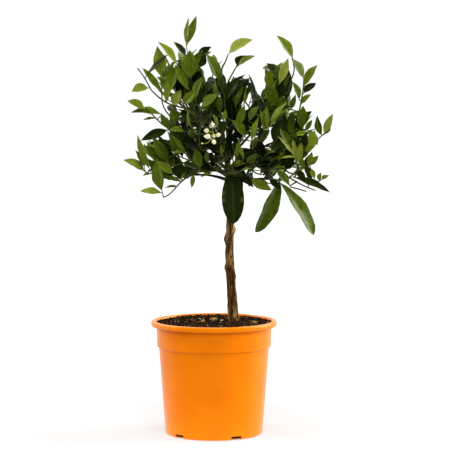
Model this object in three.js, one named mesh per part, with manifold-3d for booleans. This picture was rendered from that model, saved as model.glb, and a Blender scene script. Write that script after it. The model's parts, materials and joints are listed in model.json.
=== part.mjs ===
// Potted mandarin tree: a young citrus with a bare trunk and a round open crown, in a tapered plastic pot.
// Millimetres, +Z up, +X to the right in the front view, -Y towards the viewer.
// The origin is the middle of the pot's flat underside.
import * as THREE from "three";
import { mergeVertices } from "three/addons/utils/BufferGeometryUtils.js";
import Module from "manifold-3d";

const wasm = await Module();
wasm.setup();

// Pot: a rolled lip, a wider collar under it, then a tapered body with drain notches round its foot
const RIM_RADIUS = 100;
const POT_HEIGHT = 180;
const LIP_HEIGHT = 8.5;
const LIP_WIDTH = 8;
const LIP_ROUND = 2.6;
const COLLAR_TOP_RADIUS = 91.6;
const COLLAR_FOOT_RADIUS = 90.4;
const COLLAR_FOOT_Z = 139;
const STEP_HEIGHT = 2;
const BODY_TOP_RADIUS = 87.6;
const BODY_FOOT_RADIUS = 77.4;
const FOOT_ROUND = 2.4;
const WALL = 2;
const BASE_THICKNESS = 2.6;
const POT_SEGMENTS = 40;
const NOTCH_COUNT = 5;
const NOTCH_WIDTH = 18;
const NOTCH_HEIGHT = 6;
const NOTCH_DEPTH = 16;
const NOTCH_FIRST = 27.4;

// Soil: fills the pot to just under the lip, a little lower along the wall
const SOIL_TOP = 178;
const SOIL_EDGE_DROP = 3;
const SOIL_LEVEL_RADIUS = 66;

// Clearance left between neighbouring solids
const SEAT = 0.3;

// Trunk: it leaves the soil right of the pot's middle, leans in over its foot and tapers to the fork
const TRUNK_X = 26;
const TRUNK_TOP = 446;
const FOOT_SHIFT = 6;
const FOOT_FADE = 26;
const FORK_LEAN = -4;
const WANDER = 1.3;
const WANDER_WAVE = 150;
const TRUNK_FOOT_RADIUS = 7.2;
const TRUNK_TIP_RADIUS = 4.4;
const FLARE = 1.4;
const FLARE_FADE = 12;
const TRUNK_SIDES = 10;
const TRUNK_RINGS = 26;
const KNOT_SPREAD = 38;
const KNOT_HALF_HEIGHT = 6;
const KNOTS = [
  { height: 74, azimuth: 350, size: 1.6 },
  { height: 86, azimuth: 215, size: 3.2 },
  { height: 131, azimuth: 178, size: 2.6 },
  { height: 146, azimuth: 4, size: 3.0 },
];

// Boughs: each leaves the trunk at a foot height and climbs to a tip at a reach and a height of its own.
// The inner share of the limb is the bare bough; the rest is the stem of the leaf mass at its end.
const BOUGHS = {
  low_left: { azimuth: 187, reach: 100, top: 402, foot: 402, rise: 22, lift: -16, shoots: 6, seed: 44 },
  mid_left: { azimuth: 210, reach: 100, top: 450, foot: 412, rise: 30, lift: 35, shoots: 5, seed: 27 },
  left: { azimuth: 178, reach: 110, top: 522, foot: 418, rise: 42, lift: 58, shoots: 6, seed: 40 },
  high_left: { azimuth: 166, reach: 88, top: 575, foot: 428, rise: 54, lift: 76, shoots: 6, seed: 20 },
  leader_left: { azimuth: 200, reach: 62, top: 622, foot: 436, rise: 64, lift: 86, shoots: 4, seed: 43 },
  top: { azimuth: 320, reach: 20, top: 570, foot: 446, rise: 85, lift: 75, shoots: 5, seed: 32 },
  high_right: { azimuth: 10, reach: 96, top: 555, foot: 432, rise: 52, lift: 66, shoots: 6, seed: 3 },
  right: { azimuth: 352, reach: 130, top: 500, foot: 420, rise: 38, lift: 42, shoots: 6, seed: 17 },
  low_right: { azimuth: 354, reach: 126, top: 400, foot: 400, rise: 10, lift: -6, shoots: 6, seed: 65 },
  mid_right: { azimuth: 328, reach: 106, top: 450, foot: 414, rise: 30, lift: 35, shoots: 5, seed: 71 },
  front_left: { azimuth: 242, reach: 84, top: 505, foot: 426, rise: 48, lift: 55, shoots: 5, seed: 57 },
  front_right: { azimuth: 298, reach: 84, top: 500, foot: 430, rise: 48, lift: 55, shoots: 5, seed: 48 },
  front_low: { azimuth: 270, reach: 86, top: 432, foot: 406, rise: 18, lift: 5, shoots: 5, seed: 3 },
  back_left: { azimuth: 125, reach: 104, top: 535, foot: 430, rise: 45, lift: 58, shoots: 6, seed: 24 },
  back_right: { azimuth: 58, reach: 104, top: 535, foot: 434, rise: 45, lift: 58, shoots: 6, seed: 56 },
  back_low_left: { azimuth: 135, reach: 110, top: 432, foot: 408, rise: 22, lift: 10, shoots: 5, seed: 21 },
  back_low_right: { azimuth: 45, reach: 112, top: 432, foot: 410, rise: 22, lift: 10, shoots: 5, seed: 23 },
};
const TRUNK_MASS = "top";
const BOUGH_SHARE = 0.33;
const LEAVE_PULL = 0.4;
const ARRIVE_PULL = 0.35;
const BOUGH_RADIUS = 2.9;
const STEM_RADIUS = 1.9;
const STEM_TIP_RADIUS = 1.1;
const BOUGH_SIDES = 6;
const BOUGH_STEPS = 4;
const STEM_STEPS = 5;
const LIMB_STEPS = 24;

// Shoots: side twigs that leave a stem in a spiral and lift towards the light
const GOLDEN_TURN = 137.5;
const TRIES = 6;
const SHOOT_FIRST = 0.05;
const SHOOT_LAST = 0.9;
const INNER_SHOOT_LENGTH = 76;
const OUTER_SHOOT_LENGTH = 46;
const SHOOT_SPREAD = 46;
const SHOOT_LEAST_LIFT = 0.22;
const SHOOT_MOST_LIFT = 0.55;
const SHOOT_PROBES = 6;
const SHOOT_RADIUS = 1.5;
const SHOOT_TIP_RADIUS = 0.9;
const SHOOT_STEPS = 2;
const TWIG_SIDES = 3;
const MASS_SEEDS = 1000;

// Leaves: lance-shaped blades in a spiral up each twig, turned to face the light
const INNER_LEAF_LENGTH = 53;
const OUTER_LEAF_LENGTH = 36;
const OLD_LEAF_SHARE = 0.37;
const YOUNG_LEAF_SHARE = 0.27;
const LEAF_STEP = 17;
const LAST_LEAF = 0.6;
const INNER_LEAF_SPREAD = 53;
const OUTER_LEAF_SPREAD = 31;
const RETRY_TURN = 55;
const STEM_YOUTH = 0.6;
const LEAF_LIFT = 0.6;
const LEAF_DROOP = 0.12;
const LEAF_FOLLOW = 0.5;
const LEAF_LEAST_CURL = 10;
const LEAF_MOST_CURL = 49;
const BLADE_ROOT_POWER = 1.05;
const BLADE_TIP_POWER = 1.2;
const LEAF_FOLD = 14;
const LEAF_THICKNESS = 0.016;
const LEAF_ROOT_SINK = 0.4;
const BLADE_STATIONS = [0.3, 0.67];
const PROBE_STATIONS = [0.2, 0.36, 0.52, 0.68, 0.84, 1];
const PROBE_SIDES = [-1, -0.5, 0, 0.5, 1];
const LIGHT = new THREE.Vector3(-0.05, -0.6, 0.6);

// Clear distances that keep each mass in its own space
const SPACE_GAP = 1.6;
const BOUGH_GAP = 4;
const TRUNK_GAP = 8;
const TWIG_GAP = 2.2;
const SHOOT_GAP = 4;
const LEAF_GAP = 5;

// Three old leaves that hang below the crown
const HANGING_LEAVES = [
  { mass: "front_low", along: 0.6, azimuth: 350, climb: -83, length: 84, width: 35, curl: 10 },
  { mass: "low_right", along: 0.6, azimuth: 205, climb: -68, length: 81, width: 27, curl: 14 },
  { mass: "low_right", along: 0.64, azimuth: 345, climb: -51, length: 99, width: 24, curl: 14 },
];
const HANGING_FACE = new THREE.Vector3(0, -1, 0.25);

// One truss of white flower buds at the front of the crown
const TRUSS = { mass: "front_left", along: 0.72, azimuth: 262, climb: 12, length: 26, buds: 7 };
const BUD_RADIUS = 2.6;
const BUD_STRETCH = 1.45;
const BUD_STALK = 5.5;
const BUD_SPREAD = 70;
const BUD_GAP = 9;
const FIRST_BUD = 0.5;

// Materials
const FINISHES = {
  pot: { color: "#f47a0c", roughness: 0.45, metalness: 0 },
  soil: { color: "#34210f", roughness: 1, metalness: 0 },
  bark: { color: "#6a4f30", roughness: 0.85, metalness: 0 },
  foliage: { color: "#4a5f1e", roughness: 0.4, metalness: 0 },
};

// Closed solids from three.js geometry, and back again
function solidOf(geometry) {
  const bare = geometry.clone();
  bare.deleteAttribute("normal");
  bare.deleteAttribute("uv");
  const merged = mergeVertices(bare, 1e-4);
  const corners = [];
  for (let i = 0; i < merged.index.count; i += 3) {
    const [a, b, c] = [0, 1, 2].map((k) => merged.index.getX(i + k));
    if (a !== b && b !== c && c !== a) corners.push(a, b, c);
  }
  return new wasm.Manifold(
    new wasm.Mesh({
      numProp: 3,
      vertProperties: new Float32Array(merged.attributes.position.array),
      triVerts: new Uint32Array(corners),
    }),
  );
}

function geometryOf(solid) {
  const { vertProperties, triVerts } = solid.getMesh();
  const geometry = new THREE.BufferGeometry();
  geometry.setAttribute("position", new THREE.BufferAttribute(vertProperties, 3));
  geometry.setIndex(new THREE.BufferAttribute(triVerts, 1));
  geometry.computeVertexNormals();
  return geometry;
}

// A skin through rings of points, each counter-clockwise seen from the far end. A ring of one point is a tip.
function loft(rings) {
  const positions = [];
  const numbered = rings.map((ring) =>
    ring.map((p) => {
      positions.push(p.x, p.y, p.z);
      return positions.length / 3 - 1;
    }),
  );
  const corners = [];
  const fan = (ring) => {
    for (let k = 1; k + 1 < ring.length; k++) corners.push(ring[0], ring[k], ring[k + 1]);
  };
  fan([...numbered[0]].reverse());
  fan(numbered.at(-1));
  for (let r = 0; r + 1 < numbered.length; r++) {
    const [low, high] = [numbered[r], numbered[r + 1]];
    const count = Math.max(low.length, high.length);
    for (let k = 0; k < count; k++) {
      const [a, b] = [low[k % low.length], low[(k + 1) % low.length]];
      const [d, c] = [high[k % high.length], high[(k + 1) % high.length]];
      if (a !== b) corners.push(a, b, c);
      if (c !== d) corners.push(a, c, d);
    }
  }
  const geometry = new THREE.BufferGeometry();
  geometry.setAttribute("position", new THREE.Float32BufferAttribute(positions, 3));
  geometry.setIndex(corners);
  return solidOf(geometry);
}

// The largest body of a solid, so loose scraps and sealed hollows are left out
function wholeBody(solid) {
  return solid.decompose().sort((a, b) => b.volume() - a.volume())[0];
}

// Directions and random draws
const radians = THREE.MathUtils.degToRad;
const { lerp, mapLinear } = THREE.MathUtils;
const UP = new THREE.Vector3(0, 0, 1);
const SIDE_HINT = new THREE.Vector3(0.3, 0.1, 1);
const SMALL_STEP = 1e-3;

function heading(azimuth, climb) {
  const [a, c] = [radians(azimuth), radians(climb)];
  return new THREE.Vector3(Math.cos(a) * Math.cos(c), Math.sin(a) * Math.cos(c), Math.sin(c));
}

function squareTo(vector, direction) {
  return vector.clone().addScaledVector(direction, -vector.dot(direction)).normalize();
}

// Each draw gives an even random number between two values
function seededRandom(seed) {
  let state = seed >>> 0;
  return (low, high) => {
    state = (state + 0x6d2b79f5) >>> 0;
    let mixed = Math.imul(state ^ (state >>> 15), state | 1);
    mixed ^= mixed + Math.imul(mixed ^ (mixed >>> 7), mixed | 61);
    return low + ((high - low) * ((mixed ^ (mixed >>> 14)) >>> 0)) / 2 ** 32;
  };
}

// A direction that leaves the line `along` at an angle, at a turn round it
function branching(along, turn, spread) {
  const out = along.clone().cross(SIDE_HINT).normalize().applyAxisAngle(along, radians(turn));
  const lean = radians(spread);
  return along.clone().multiplyScalar(Math.cos(lean)).addScaledVector(out, Math.sin(lean));
}

// A tapering tube along a stretch of a curve
function tube(curve, from, to, steps, radiusAt, sides) {
  const rings = [];
  for (let i = 0; i <= steps; i++) {
    const share = i / steps;
    const t = lerp(from, to, share);
    const along = curve.getTangent(t);
    const out = squareTo(SIDE_HINT, along).multiplyScalar(radiusAt(share));
    const middle = curve.getPoint(t);
    const ring = [];
    for (let k = 0; k < sides; k++)
      ring.push(out.clone().applyAxisAngle(along, (2 * Math.PI * k) / sides).add(middle));
    rings.push(ring);
  }
  return loft(rings);
}

const taper = (start, end) => (share) => lerp(start, end, share);

// Pot and soil
function innerRadius(z) {
  if (z < COLLAR_FOOT_Z - STEP_HEIGHT)
    return mapLinear(z, 0, COLLAR_FOOT_Z, BODY_FOOT_RADIUS, BODY_TOP_RADIUS) - WALL;
  return mapLinear(z, COLLAR_FOOT_Z, POT_HEIGHT, COLLAR_FOOT_RADIUS, COLLAR_TOP_RADIUS) - WALL;
}

function turnedSolid(profile) {
  const points = profile.map(([r, z]) => new THREE.Vector2(r, z));
  return solidOf(new THREE.LatheGeometry(points, POT_SEGMENTS).rotateX(Math.PI / 2));
}

function potSolid() {
  const lipFoot = POT_HEIGHT - LIP_HEIGHT;
  const stepFoot = COLLAR_FOOT_Z - STEP_HEIGHT;
  const bodyRadius = innerRadius(stepFoot - SMALL_STEP) + WALL;
  const lipInner = RIM_RADIUS - LIP_WIDTH;
  const wall = turnedSolid([
    [0, 0],
    [BODY_FOOT_RADIUS - FOOT_ROUND, 0],
    [BODY_FOOT_RADIUS, FOOT_ROUND],
    [bodyRadius, stepFoot],
    [COLLAR_FOOT_RADIUS, COLLAR_FOOT_Z],
    [COLLAR_TOP_RADIUS, lipFoot],
    [RIM_RADIUS - LIP_ROUND / 2, lipFoot],
    [RIM_RADIUS, lipFoot + LIP_ROUND],
    [RIM_RADIUS, POT_HEIGHT - LIP_ROUND],
    [RIM_RADIUS - LIP_ROUND, POT_HEIGHT],
    [lipInner, POT_HEIGHT],
    [innerRadius(lipFoot), lipFoot],
    [innerRadius(COLLAR_FOOT_Z), COLLAR_FOOT_Z],
    [bodyRadius - WALL, stepFoot],
    [innerRadius(BASE_THICKNESS), BASE_THICKNESS],
    [0, BASE_THICKNESS],
  ]);
  const notches = [];
  for (let i = 0; i < NOTCH_COUNT; i++) {
    const notch = new THREE.BoxGeometry(NOTCH_WIDTH, NOTCH_DEPTH, 2 * NOTCH_HEIGHT);
    notch.translate(0, -BODY_FOOT_RADIUS, 0);
    notch.rotateZ(radians(NOTCH_FIRST + (360 / NOTCH_COUNT) * i));
    notches.push(solidOf(notch));
  }
  return wall.subtract(wasm.Manifold.union(notches));
}

function soilSolid() {
  const edgeTop = SOIL_TOP - SOIL_EDGE_DROP;
  const stepFoot = COLLAR_FOOT_Z - STEP_HEIGHT - SEAT;
  return turnedSolid([
    [0, BASE_THICKNESS + SEAT],
    [innerRadius(BASE_THICKNESS) - SEAT, BASE_THICKNESS + SEAT],
    [innerRadius(stepFoot) - SEAT, stepFoot],
    [innerRadius(stepFoot) - SEAT, COLLAR_FOOT_Z],
    [innerRadius(edgeTop) - 2 * SEAT, edgeTop],
    [SOIL_LEVEL_RADIUS, SOIL_TOP],
    [0, SOIL_TOP],
  ]);
}

// Trunk
function trunkAxis(z) {
  const height = z - SOIL_TOP;
  const wave = (2 * Math.PI * height) / WANDER_WAVE;
  const lean = FORK_LEAN * (height / (TRUNK_TOP - SOIL_TOP)) ** 3;
  return new THREE.Vector3(
    TRUNK_X + FOOT_SHIFT * Math.exp(-height / FOOT_FADE) + WANDER * Math.sin(wave) + lean,
    WANDER * Math.cos(wave),
    z,
  );
}

function trunkRadius(z, azimuth) {
  const height = z - SOIL_TOP;
  const share = height / (TRUNK_TOP - SOIL_TOP);
  const round = lerp(TRUNK_FOOT_RADIUS, TRUNK_TIP_RADIUS, share);
  const knots = KNOTS.reduce((sum, knot) => {
    const turn = Math.abs(((azimuth - knot.azimuth + 540) % 360) - 180) / KNOT_SPREAD;
    const rise = (height - knot.height) / KNOT_HALF_HEIGHT;
    return sum + knot.size * Math.exp(-turn * turn - rise * rise);
  }, 0);
  return round + FLARE * Math.exp(-height / FLARE_FADE) + knots;
}

function trunkSolid(extra = 0) {
  const rings = [];
  const foot = SOIL_TOP + SEAT;
  for (let i = 0; i <= TRUNK_RINGS; i++) {
    const z = lerp(foot, TRUNK_TOP, i / TRUNK_RINGS);
    const ring = [];
    for (let k = 0; k < TRUNK_SIDES; k++) {
      const azimuth = (360 * k) / TRUNK_SIDES;
      ring.push(trunkAxis(z).addScaledVector(heading(azimuth, 0), trunkRadius(z, azimuth) + extra));
    }
    rings.push(ring);
  }
  return loft(rings);
}

// Limbs: the bough and the stem of its mass share one curve
function limbCurve({ azimuth, reach, top, foot, rise, lift }) {
  const start = trunkAxis(foot);
  const tip = trunkAxis(TRUNK_TOP).setZ(top).addScaledVector(heading(azimuth, 0), reach);
  const span = start.distanceTo(tip);
  const leave = start.clone().addScaledVector(heading(azimuth, rise), LEAVE_PULL * span);
  const arrive = tip.clone().addScaledVector(heading(azimuth, lift), -ARRIVE_PULL * span);
  return new THREE.CubicBezierCurve3(start, leave, arrive, tip);
}

function pointsAlong(curve, from, to, steps) {
  return Array.from({ length: steps + 1 }, (_, i) => curve.getPoint(lerp(from, to, i / steps)));
}

const limbNames = Object.keys(BOUGHS);
const boughNames = limbNames.filter((name) => name !== TRUNK_MASS);
const stemStart = (name) => (name === TRUNK_MASS ? 0 : BOUGH_SHARE);
const curves = new Map(limbNames.map((name) => [name, limbCurve(BOUGHS[name])]));
const limbLines = new Map(limbNames.map((name) => [name, curves.get(name).getPoints(LIMB_STEPS)]));
const boughLines = boughNames.map((name) => pointsAlong(curves.get(name), 0, BOUGH_SHARE, BOUGH_STEPS));
const trunkLine = Array.from({ length: TRUNK_RINGS + 1 }, (_, i) =>
  trunkAxis(lerp(SOIL_TOP, TRUNK_TOP, i / TRUNK_RINGS)),
);

function limbTube(name, extra) {
  const radius = taper(BOUGH_RADIUS + extra, STEM_RADIUS + extra);
  return tube(curves.get(name), 0, BOUGH_SHARE, BOUGH_STEPS, radius, BOUGH_SIDES);
}

// Boughs are cut clear of the trunk and of each other where they crowd together at the fork
function boughSolids() {
  const made = new Map();
  let taken = trunkSolid(SEAT);
  for (const name of boughNames) {
    made.set(name, wholeBody(limbTube(name, 0).subtract(taken)));
    taken = taken.add(limbTube(name, SEAT));
  }
  return made;
}

// Distances that keep twigs and leaves in their own space
const segment = new THREE.Line3();
const nearest = new THREE.Vector3();

function distanceToLine(point, line) {
  let least = Infinity;
  for (let i = 0; i + 1 < line.length; i++) {
    segment.set(line[i], line[i + 1]);
    segment.closestPointToPoint(point, true, nearest);
    least = Math.min(least, nearest.distanceTo(point));
  }
  return least;
}

const clearOf = (points, line, gap) => points.every((point) => distanceToLine(point, line) > gap);

// A point is in a mass's space where that mass's own limb is the nearest one
function inSpace(name, points) {
  return points.every((point) => {
    const own = distanceToLine(point, limbLines.get(name));
    const others = limbNames.filter((other) => other !== name);
    return others.every((other) => distanceToLine(point, limbLines.get(other)) > own + SPACE_GAP);
  });
}

const clearOfLimbs = (points) =>
  clearOf(points, trunkLine, TRUNK_GAP) && boughLines.every((line) => clearOf(points, line, BOUGH_GAP));

// Shoots of one mass
function growShoots(name, draw, twigs) {
  const curve = curves.get(name);
  const count = BOUGHS[name].shoots;
  let turn = draw(0, 360);
  for (let k = 0; k < count; k++) {
    for (let attempt = 0; attempt < TRIES; attempt++) {
      const share = lerp(SHOOT_FIRST, SHOOT_LAST, (k + draw(0, 0.8)) / count);
      turn += attempt === 0 ? GOLDEN_TURN : draw(60, 90);
      const t = lerp(stemStart(name), 1, share);
      const start = curve.getPoint(t);
      const way = branching(curve.getTangent(t), turn, SHOOT_SPREAD * draw(0.8, 1.3));
      const length = lerp(INNER_SHOOT_LENGTH, OUTER_SHOOT_LENGTH, share) * draw(0.75, 1.25);
      const bend = start.clone().addScaledVector(way, length / 2);
      const end = start.clone().addScaledVector(way, length);
      end.z += length * draw(SHOOT_LEAST_LIFT, SHOOT_MOST_LIFT);
      const shoot = new THREE.QuadraticBezierCurve3(start, bend, end);
      const line = shoot.getPoints(SHOOT_PROBES);
      const free = line.slice(2);
      if (!inSpace(name, line.slice(1)) || !clearOfLimbs(free)) continue;
      if (!twigs.every((twig) => clearOf(free, twig.line, SHOOT_GAP))) continue;
      twigs.push({ curve: shoot, from: 0, line, side: true, gap: TWIG_GAP });
      break;
    }
  }
}

// Leaves: each is a root, a direction, an upper face and sizes
const bladeSwell = (s) => s ** BLADE_ROOT_POWER * (1 - s) ** BLADE_TIP_POWER;
const widestAt = BLADE_ROOT_POWER / (BLADE_ROOT_POWER + BLADE_TIP_POWER);
const halfWidth = (leaf, s) => (0.5 * leaf.width * bladeSwell(s)) / bladeSwell(widestAt);

function leafMiddle(leaf, s) {
  const radius = leaf.length / leaf.curl;
  return leaf.root
    .clone()
    .addScaledVector(leaf.way, radius * Math.sin(leaf.curl * s))
    .addScaledVector(leaf.face, -radius * (1 - Math.cos(leaf.curl * s)));
}

function leafProbes(leaf) {
  const across = leaf.way.clone().cross(leaf.face);
  leaf.probes = PROBE_STATIONS.flatMap((s) => {
    const half = halfWidth(leaf, s);
    return PROBE_SIDES.map((side) => leafMiddle(leaf, s).addScaledVector(across, side * half));
  });
  return leaf;
}

function leafFits(leaf, name, twigs, leaves) {
  const outer = leaf.probes.slice(PROBE_SIDES.length);
  return (
    inSpace(name, leaf.probes) &&
    clearOfLimbs(leaf.probes) &&
    twigs.every((twig) => clearOf(outer, twig.line, twig.gap)) &&
    leaves.every((other) => other.probes.every((p) => outer.every((q) => p.distanceTo(q) > LEAF_GAP)))
  );
}

function hangingLeaves(name) {
  return HANGING_LEAVES.filter((old) => old.mass === name).map((old) => {
    const root = curves.get(name).getPoint(old.along);
    const way = heading(old.azimuth, old.climb);
    const face = squareTo(HANGING_FACE, way);
    return leafProbes({ root, way, face, length: old.length, width: old.width, curl: radians(old.curl) });
  });
}

// One try at a leaf: `share` is its place up the twig, and a young leaf is slimmer, shorter and more upright
function leafTry(root, along, turn, spread, share, youth, draw) {
  const way = branching(along, turn, spread);
  way.z += LEAF_LIFT * (youth - LEAF_DROOP);
  way.normalize();
  const face = LIGHT.clone().addScaledVector(along, LEAF_FOLLOW);
  face.add(new THREE.Vector3(draw(-0.5, 0.5), draw(-0.5, 0.5), draw(-0.5, 0.5)));
  const length = lerp(INNER_LEAF_LENGTH, OUTER_LEAF_LENGTH, share * share) * draw(0.75, 1.2);
  const width = length * lerp(OLD_LEAF_SHARE, YOUNG_LEAF_SHARE, youth) * draw(0.88, 1.18);
  const curl = radians(draw(LEAF_LEAST_CURL, LEAF_MOST_CURL));
  return leafProbes({ root, way, face: squareTo(face, way), length, width, curl });
}

function growLeaves(name, draw, twigs, leaves) {
  for (const twig of twigs.filter((t) => !t.bare)) {
    const total = twig.line.slice(1).reduce((sum, p, i) => sum + p.distanceTo(twig.line[i]), 0);
    let at = LEAF_STEP;
    let turn = draw(0, 360);
    while (at <= total) {
      const share = at / total;
      const isLast = total - at < LAST_LEAF * LEAF_STEP;
      const t = lerp(twig.from, 1, share);
      const along = twig.curve.getTangent(t);
      const youth = twig.side ? share : STEM_YOUTH * share;
      for (let attempt = 0; attempt < TRIES; attempt++) {
        turn += attempt === 0 ? GOLDEN_TURN + draw(-15, 15) : RETRY_TURN;
        const wide = lerp(INNER_LEAF_SPREAD, OUTER_LEAF_SPREAD, share);
        const spread = isLast ? draw(12, 26) : wide * draw(0.8, 1.2);
        const leaf = leafTry(twig.curve.getPoint(t), along, turn, spread, share, youth, draw);
        if (!leafFits(leaf, name, twigs, leaves)) continue;
        leaves.push(leaf);
        break;
      }
      at += LEAF_STEP * draw(0.8, 1.3);
    }
  }
}

function leafSolid(leaf) {
  const across = leaf.way.clone().cross(leaf.face);
  const keel = LEAF_THICKNESS * leaf.length;
  const section = (middle, half, fold) => [
    middle.clone().addScaledVector(across, half).addScaledVector(leaf.face, fold),
    middle.clone().addScaledVector(leaf.face, -keel),
    middle.clone().addScaledVector(across, -half).addScaledVector(leaf.face, fold),
  ];
  const blade = BLADE_STATIONS.map((s) => {
    const half = halfWidth(leaf, s);
    return section(leafMiddle(leaf, s), half, half * Math.tan(radians(LEAF_FOLD)));
  });
  const root = leaf.root.clone().addScaledVector(leaf.way, -LEAF_ROOT_SINK);
  return loft([[root], ...blade, [leafMiddle(leaf, 1)]]);
}

// Flower buds: short stalks in a spiral round the end of the truss
function trussTwig() {
  const start = curves.get(TRUSS.mass).getPoint(TRUSS.along);
  const end = start.clone().addScaledVector(heading(TRUSS.azimuth, TRUSS.climb), TRUSS.length);
  const curve = new THREE.LineCurve3(start, end);
  return { curve, from: 0, line: [start, end], side: true, bare: true, gap: BUD_GAP };
}

function budSolids(twig) {
  const along = twig.curve.getTangent(1);
  const stalkTaper = taper(SHOOT_TIP_RADIUS, SHOOT_TIP_RADIUS);
  const budLength = 2 * BUD_RADIUS * BUD_STRETCH;
  const solids = [];
  for (let i = 0; i < TRUSS.buds; i++) {
    const isEnd = i === TRUSS.buds - 1;
    const root = twig.curve.getPoint(isEnd ? 1 : lerp(FIRST_BUD, 1, i / TRUSS.buds));
    const way = isEnd ? along : branching(along, GOLDEN_TURN * i, BUD_SPREAD);
    const stalk = new THREE.LineCurve3(root, root.clone().addScaledVector(way, BUD_STALK));
    solids.push(tube(stalk, 0, 1, 1, stalkTaper, TWIG_SIDES));
    const bud = new THREE.IcosahedronGeometry(BUD_RADIUS, 0).scale(1, 1, BUD_STRETCH);
    bud.applyQuaternion(new THREE.Quaternion().setFromUnitVectors(UP, way));
    bud.translate(...stalk.v2.clone().addScaledVector(way, budLength / 3));
    solids.push(solidOf(bud));
  }
  return solids;
}

// One mass of foliage: a stem, its shoots and their leaves, fused
function massSolid(name) {
  const draw = seededRandom(MASS_SEEDS * limbNames.indexOf(name) + BOUGHS[name].seed);
  const curve = curves.get(name);
  const from = stemStart(name);
  const stem = { curve, from, line: pointsAlong(curve, from, 1, STEM_STEPS), gap: TWIG_GAP };
  const truss = name === TRUSS.mass ? trussTwig() : null;
  const twigs = truss ? [stem, truss] : [stem];
  growShoots(name, draw, twigs);
  const leaves = hangingLeaves(name);
  growLeaves(name, draw, twigs, leaves);
  const seat = SEAT / curve.getPoint(from).distanceTo(curve.getPoint(from + SMALL_STEP));
  const stemTaper = taper(STEM_RADIUS, STEM_TIP_RADIUS);
  const shootTaper = taper(SHOOT_RADIUS, SHOOT_TIP_RADIUS);
  const solids = [
    tube(curve, from + seat * SMALL_STEP, 1, STEM_STEPS, stemTaper, TWIG_SIDES),
    ...twigs.slice(1).map((twig) => tube(twig.curve, 0, 1, SHOOT_STEPS, shootTaper, TWIG_SIDES)),
    ...leaves.map(leafSolid),
    ...(truss ? budSolids(truss) : []),
  ];
  return wholeBody(wasm.Manifold.union(solids));
}

// The whole plant in its pot
const tree = new THREE.Group();
tree.name = "potted_mandarin_tree";

function add(name, solid, finish) {
  const mesh = new THREE.Mesh(geometryOf(solid), new THREE.MeshStandardMaterial(FINISHES[finish]));
  mesh.name = name;
  tree.add(mesh);
}

add("pot", potSolid(), "pot");
add("soil", soilSolid(), "soil");
add("trunk", trunkSolid(), "bark");
boughSolids().forEach((solid, name) => add(`bough_${name}`, solid, "bark"));
limbNames.forEach((name) => add(`leaves_${name}`, massSolid(name), "foliage"));

export default tree;
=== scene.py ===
# %% [markdown]
# # A potted mandarin tree
# A young citrus with a bare trunk and an open, round crown, standing in an orange nursery pot.
# The solid parts come in first and stay where they are. Every piece below is dressed on that frame,
# in metres, with +Z up and the middle of the pot's underside at the origin.

# %% Load the solid parts
import json
import math

import bmesh
import bpy
import numpy as np
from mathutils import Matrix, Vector, noise

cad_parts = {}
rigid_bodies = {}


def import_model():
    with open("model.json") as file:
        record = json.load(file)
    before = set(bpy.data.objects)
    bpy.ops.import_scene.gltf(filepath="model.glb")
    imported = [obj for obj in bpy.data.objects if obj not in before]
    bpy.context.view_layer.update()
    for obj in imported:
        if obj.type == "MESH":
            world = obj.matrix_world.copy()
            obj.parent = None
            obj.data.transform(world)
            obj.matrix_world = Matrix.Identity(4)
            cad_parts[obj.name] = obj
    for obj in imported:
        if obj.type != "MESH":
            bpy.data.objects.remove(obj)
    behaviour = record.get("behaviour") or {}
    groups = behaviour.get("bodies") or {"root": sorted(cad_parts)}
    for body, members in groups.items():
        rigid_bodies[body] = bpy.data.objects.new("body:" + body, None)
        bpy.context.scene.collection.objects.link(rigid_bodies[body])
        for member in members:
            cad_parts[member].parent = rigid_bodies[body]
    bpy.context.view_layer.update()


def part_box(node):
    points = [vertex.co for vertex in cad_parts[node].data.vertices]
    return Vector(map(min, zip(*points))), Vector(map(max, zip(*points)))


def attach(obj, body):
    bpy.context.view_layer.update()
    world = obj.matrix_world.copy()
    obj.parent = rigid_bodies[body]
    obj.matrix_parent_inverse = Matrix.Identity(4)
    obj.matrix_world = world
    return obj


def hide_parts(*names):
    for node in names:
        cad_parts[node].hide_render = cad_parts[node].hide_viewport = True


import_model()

MM = 0.001

# %% [markdown]
# ## Camera
# The tree was photographed from a few steps away with a long lens, from the height of its crown.
# A long lens keeps the two sides of the pot almost parallel, and the rim shows as a thin ellipse.
# Aiming the camera with a track quaternion is easier to read than three angles worked out by hand.

# %% Camera
CAMERA_PLACE = Vector((0.019, -3.1, 0.56))
CAMERA_AIM = Vector((0.019, 0.0, 0.33))
LENS_MM = 156.5

scene = bpy.context.scene


def aimed(thing, place, aim):
    """Puts a camera or a light at a place and turns it to look at another."""
    thing.location = place
    thing.rotation_euler = (aim - place).to_track_quat("-Z", "Y").to_euler()
    scene.collection.objects.link(thing)
    return thing


camera = aimed(bpy.data.objects.new("camera", bpy.data.cameras.new("camera")), CAMERA_PLACE, CAMERA_AIM)
camera.data.lens = LENS_MM
scene.camera = camera
scene.view_settings.view_transform = "Standard"
print("camera", round((CAMERA_AIM - CAMERA_PLACE).length, 3), "m from the tree")

# %% [markdown]
# ## Writing node trees as Python
# A node tree is quick to draw by hand and slow to read as code. One small class wraps a socket:
# arithmetic on it adds Math nodes, and its `node` method adds any other kind, with the settings set
# before the sockets. The same class serves materials and Geometry Nodes. Two helpers after it turn a
# screen colour into linear light and start a material.

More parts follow.
